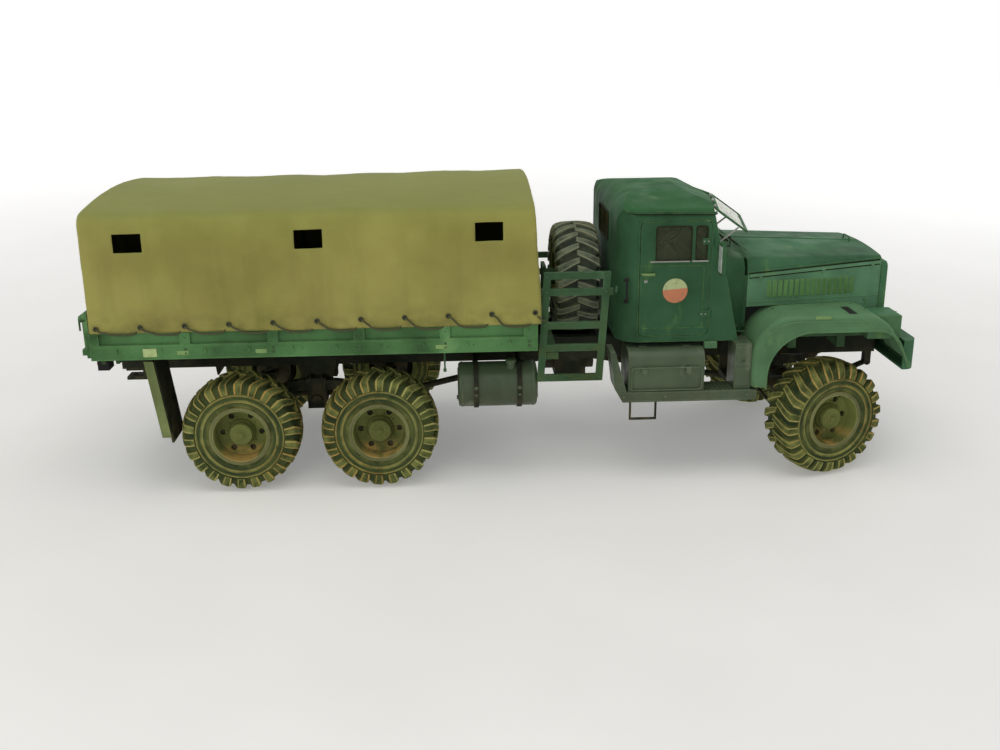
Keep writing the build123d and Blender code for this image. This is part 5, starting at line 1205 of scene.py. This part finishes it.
# Tail lamps' lenses, and mud flaps' ribs and outer flanges
FLAP_TOP_Z, FLAP_HEIGHT, FLAP_LEAN = 143, 86, 11
FLANGE = ((0, 132.0), (0, 133.2), (-9, 133.2), (-9, 132.0))
lens, ribs, flanges = pieces(3)


def flap_at(x, y, t, dx=0.0):
    """A point on a mud flap's slanting face, from its top at t 0 to its foot at t 1."""
    return (x + FLAP_LEAN * t + dx, y, FLAP_TOP_Z - FLAP_HEIGHT * t)


for side in BOTH:
    for y in (112, 120):
        lens.lathe(((3.0, 0), (3.0, 0.5), (2.0, 0.9), (0.1, 1.0)), (-406.2, side * y, 137), (-1, 0, 0), 20)
    for y in range(94, 131, 6):
        ribs.tube([flap_at(-350.2, side * y, t) for t in (0.12, 0.97)], 0.6, 6)
    ribs.block((-350.6, -347.4), (side * 90, side * 133), (139.5, 143.6), 0.4)
    flanges.rings([[flap_at(-349.6, side * y, t, dx) for dx, y in FLANGE] for t in (0.03, 0.5, 0.96)])
lens.finish("tail_lamp_lenses", "tail_lens")
ribs.finish("mud_flap_ribs", "black_rubber")
flanges.finish("mud_flap_flanges", "flap_edge", slot="black_rubber")

# Ladder bolts and hooks, tank fittings, boxes' lids and latches, board treads
LADDER_X = (40.0, 99.0)
LADDER_FOOT_Z, LADDER_HEIGHT, LADDER_LEAN = 108, 112, 7
RUNGS_Z = {-1: (114.5, 146, 169, 203, 219), 1: (114.5, 146, 169)}
TANK_X = (-50.0, 30.0)
TANK_Y, TANK_Z, TANK_RADIUS = 104.0, 100.0, 23.0
TANK_BAND = [(TANK_RADIUS + dr, along) for dr, along in ((-0.4, -0.8), (0.5, -0.5), (0.5, 0.5), (-0.4, 0.8))]
TANK_HEAD = ((17, -0.1), (17.4, 0.5), (16.4, 0.7), (15.8, 0.1))
TANK_CAP = ((5.6, 0), (5.9, 1.8), (5.0, 2.8), (1.0, 3.2))
BOX_X = (122.0, 199.0)
UPRIGHT_X = (231.2, 245.5)
BOARD_X = (112.0, 253.0)
TREADS_X = [202 + 4.2 * n for n in range(7)]


def ladder_fittings(hooks, side):
    y = side * 127.2
    for x in LADDER_X:
        for z in RUNGS_Z[side]:
            lean = LADDER_LEAN * (z - LADDER_FOOT_Z) / LADDER_HEIGHT
            hooks.bolt((x - LADDER_LEAN + lean, y, z - 2.6), (0, side, 0), 0.9, 0.6)
    for x in (31.5, 107.5) if side < 0 else ():
        hooks.tube([(x, y + 1, 200), (x, y - 2.6, 200), (x, y - 2.6, 206)], 1.1, bends=(1.5,), steps=4)


def tank_fittings(tanks, side):
    middle = (0, side * TANK_Y, TANK_Z)
    for x in (TANK_X[0] + 4, TANK_X[1] - 4):
        tanks.lathe(TANK_BAND, (x, *middle[1:]), (1, 0, 0), 56, hollow=True)
    for x, ahead in zip(TANK_X, (-1, 1)):
        tanks.lathe(TANK_HEAD, (x, *middle[1:]), (ahead, 0, 0), 48, hollow=True)
        tanks.lathe(((2.4, 0), (2.4, 1.6), (1.6, 2)), (x, middle[1], TANK_Z - 14), (ahead, 0, 0), 6)
    tanks.lathe(TANK_CAP, (TANK_X[1] - 26, side * (TANK_Y + 8), TANK_Z + TANK_RADIUS + 2.4), (0, 0, 1), 20)
    for x in (-32, 12):
        tanks.bolt((x, side * (TANK_Y + 24.4), TANK_Z + 3), (0, side, 0), 1.4, 2.0)
        tanks.bolt((x, side * (TANK_Y + 24.0), TANK_Z - 4), (0, side, 0), 1.4, 2.0)


def box_fittings(boxes, side):
    x0, x1, y = BOX_X[0] + 3, BOX_X[1] - 3, side * 131.1
    rim = [(x, y, z) for x, z in ((x0, 97.5), (x0, 121), (x1, 121), (x1, 97.5), (x0, 97.5))]
    boxes.tube(rim, 0.7, bends=(3, 3, 3))
    for x in (BOX_X[0] + 16, BOX_X[1] - 16):
        boxes.block((x - 3, x + 3), (side * 130.6, side * 132.4), (115, 121.5), 0.4)
        boxes.tube([(x, side * 132.2, 114), (x, side * 132.6, 119)], 0.9)
        boxes.block((x - 4, x + 4), (side * 104, side * 113), (137.6, 138.9), 0.4)
    for z in ((99, 118), (121, 140.5)):
        boxes.block(UPRIGHT_X, (side * 127.6, side * 128.8), z, 0.5)
    boxes.bolt((238, side * 128.6, 125), (0, side, 0), 1.3, 1.2)


def board_treads(treads, side):
    treads.block((BOARD_X[0] + 9, BOARD_X[1]), (side * 129.4, side * 131.5), (93.4, 95.6), 0.5)
    treads.block((BOARD_X[0] + 4, BOARD_X[1]), (side * 130.4, side * 131.5), (84.8, 86.6), 0.4)
    for x in TREADS_X:
        treads.block((x - 0.8, x + 0.8), (side * 102, side * 128.5), (94.8, 95.7), 0.3)
    for x in (118, 160, 205, 244):
        treads.bolt((x, side * 131, 90), (0, side, 0), 1.2, 0.9)


hooks, tanks, boxes, treads, bars = pieces(5)
for side in BOTH:
    ladder_fittings(hooks, side)
    tank_fittings(tanks, side)
    box_fittings(boxes, side)
    board_treads(treads, side)
    bars.tube([(125.0, side * 130, 66.8), (149.0, side * 130, 66.8)], 1.3)
hooks.finish("ladder_fittings", "carrier_green")
tanks.finish("tank_fittings", "box_grey")
boxes.finish("box_fittings", "box_grey")
treads.finish("board_treads", "box_grey")
bars.finish("step_bars", "chassis_black")

# Underside: rivets along the rails, spring clips, torque rods and axle covers
RAIL_Y = 46
RAIL_RIVETS_X = [-388 + 20.5 * n for n in range(38)]
AXLE_BOLTS_RADIUS = 17.0
COVER_RING = ((14, -1.2), (18.2, -1.2), (18.2, 1.2), (14, 1.2))
# X of a pair of clips, inner and outer Y, foot and top
CLIPS = (
    ((FRONT_AXLE_X - 6, FRONT_AXLE_X + 6), 33.6, 46.4, 60, 80.6),
    ((-207, -195), 48.4, 61.6, 78, 97.8),
)
rivets, clips, covers = pieces(3)
for side in BOTH:
    for x, z in product(RAIL_RIVETS_X, (112.5, 125.5)):
        rivets.rivet((x, side * RAIL_Y, z), (0, side, 0), 0.9)
    for xs, inner, outer, foot, top in CLIPS:
        for x in xs:
            path = [(x, side * y, z) for y, z in ((inner, foot), (inner, top), (outer, top), (outer, foot))]
            clips.tube(path, 0.9, bends=(2, 2), steps=4)
    for x in (MIDDLE_X, REAR_X):
        clips.tube([(x - 14, side * 62, 92), (x - 5, side * 70, 69)], 1.2)
for x in (FRONT_AXLE_X, MIDDLE_X, REAR_X):
    covers.lathe(COVER_RING, (x, 0, AXLE_Z), (1, 0, 0), 40, hollow=True)
    for turn in (2 * math.pi * n / 10 for n in range(10)):
        across, _, up = on_wheel(AXLE_BOLTS_RADIUS, 0, turn)
        covers.bolt((x - 1.2, across, AXLE_Z + up), (-1, 0, 0), 0.75, 0.9)
rivets.finish("rail_rivets", "chassis_black")
clips.finish("spring_clips", "chassis_black")
covers.finish("axle_cover_bolts", "chassis_black")

# Seat cushion and backrest: stuffed, sewn into panels, piped round their edges
CHANNELS = (-64, -32, 0, 32, 64)
CHANNEL_WIDTH, CHANNEL_DEPTH = 2.2, 1.3
SEAT = ((139.0, -98.0, 176.3), (172.0, 98.0, 188.0))
BACK = ((129.3, -82.0, 176.3), (138.0, 82.0, 232.0))
PAD_VOXEL = 0.0028
PAD_PRESSURE = 4
CLOTH_FRAMES = 12


def swell_pad(pad, swell):
    """Cloth simulation under pressure, held to a swell in millimetres."""
    before = [v.co.copy() for v in pad.data.vertices]
    cloth = pad.modifiers.new("cloth", "CLOTH")
    cloth.settings.use_pressure = True
    cloth.settings.uniform_pressure_force = PAD_PRESSURE
    cloth.settings.effector_weights.gravity = 0
    for step in range(CLOTH_FRAMES):
        bpy.context.scene.frame_set(step + 1)
    bpy.ops.object.modifier_apply(modifier="cloth")
    bpy.context.scene.frame_set(1)
    for vertex, start in zip(pad.data.vertices, before):
        moved = vertex.co - start
        if moved.length > swell * MM:
            vertex.co = start + moved.normalized() * swell * MM


def cushion(name, low, high, swell, fill):
    """A stuffed pad between two corners, with sewn channels across it."""
    bpy.ops.mesh.primitive_cube_add(size=1)
    pad = bpy.context.object
    pad.name = name
    middle = [(a + b) / 2 * MM for a, b in zip(low, high)]
    span = [(b - a - 2 * swell) * MM for a, b in zip(low, high)]
    for vertex in pad.data.vertices:
        vertex.co = Vector([m + c * s for m, c, s in zip(middle, vertex.co, span)])
    remesh = pad.modifiers.new("remesh", "REMESH")
    remesh.mode, remesh.voxel_size = "VOXEL", PAD_VOXEL
    bpy.ops.object.modifier_apply(modifier="remesh")
    swell_pad(pad, swell)
    for vertex in pad.data.vertices:
        nearest = min(abs(vertex.co.y / MM - c) for c in CHANNELS)
        dent = math.exp(-((nearest / CHANNEL_WIDTH) ** 2)) * CHANNEL_DEPTH * MM
        for axis in (0, 2):
            vertex.co[axis] -= dent * math.copysign(1, vertex.co[axis] - middle[axis])
    pad.data.shade_smooth()
    pad.data.materials.clear()
    pad.data.materials.append(MATERIALS["seat_brown"])
    finer = pad.modifiers.new("finer", "SUBSURF")
    finer.levels = finer.render_levels = 1
    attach(pad, CHASSIS)
    return pad


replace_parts(cushion("seat_pad", *SEAT, 1.2, 0.7), "seat_cushion")
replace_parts(cushion("back_pad", *BACK, 0.9, 0.7), "seat_backrest")
piping = Piece()
for x, half, z in ((140.2, 95, 186.8), (170.8, 95, 186.8), (137.2, 79, 230.8)):
    piping.tube([(x, -half, z), (x, half, z)], 0.7)
piping.finish("seat_piping", "seat_brown")


# World and floor: a sky that lights softly but is seen white. The floor's sizes are in metres.
FLOOR_SIZE = 12
FLOOR_DROP = 0.0002


def make_world():
    world = bpy.data.worlds.new("world")
    bpy.context.scene.world = world
    world.use_nodes = True
    tree = world.node_tree
    path = node(tree, "LightPath").outputs
    seen = path["Is Camera Ray"]
    for kind in ("Is Glossy Ray", "Is Transmission Ray"):
        seen = node(tree, "Math", {0: seen, 1: path[kind]}, operation="MAXIMUM").outputs[0]
    strength = spread(tree, seen, 0, 1, WORLD_LIGHT, 1.0)
    plug(tree, tree.nodes["Background"], {0: (1, 1, 1, 1), 1: strength})


def make_floor():
    bpy.ops.mesh.primitive_plane_add(size=FLOOR_SIZE, location=(0, 0, -FLOOR_DROP))
    floor = bpy.context.object
    floor.name = "floor"
    material, tree, shader = new_material("floor")
    cloudy = blotches(tree, 6, detail=5, low=0.3, high=0.7)
    reach = node(tree, "VectorMath", {0: spot(tree)}, operation="LENGTH").outputs["Value"]
    plug(tree, shader, {
        "Base Color": mix(tree, cloudy, (0.84, 0.83, 0.80), (0.89, 0.88, 0.85)),
        "Roughness": 0.9,
        "Specular IOR Level": 0.1,
        "Emission Color": (1, 1, 1, 1),
        "Emission Strength": spread(tree, reach, 0.5, 3.2, 0.22, 0.8),
    })
    floor.data.materials.append(material)
    return floor


make_world()
make_floor()
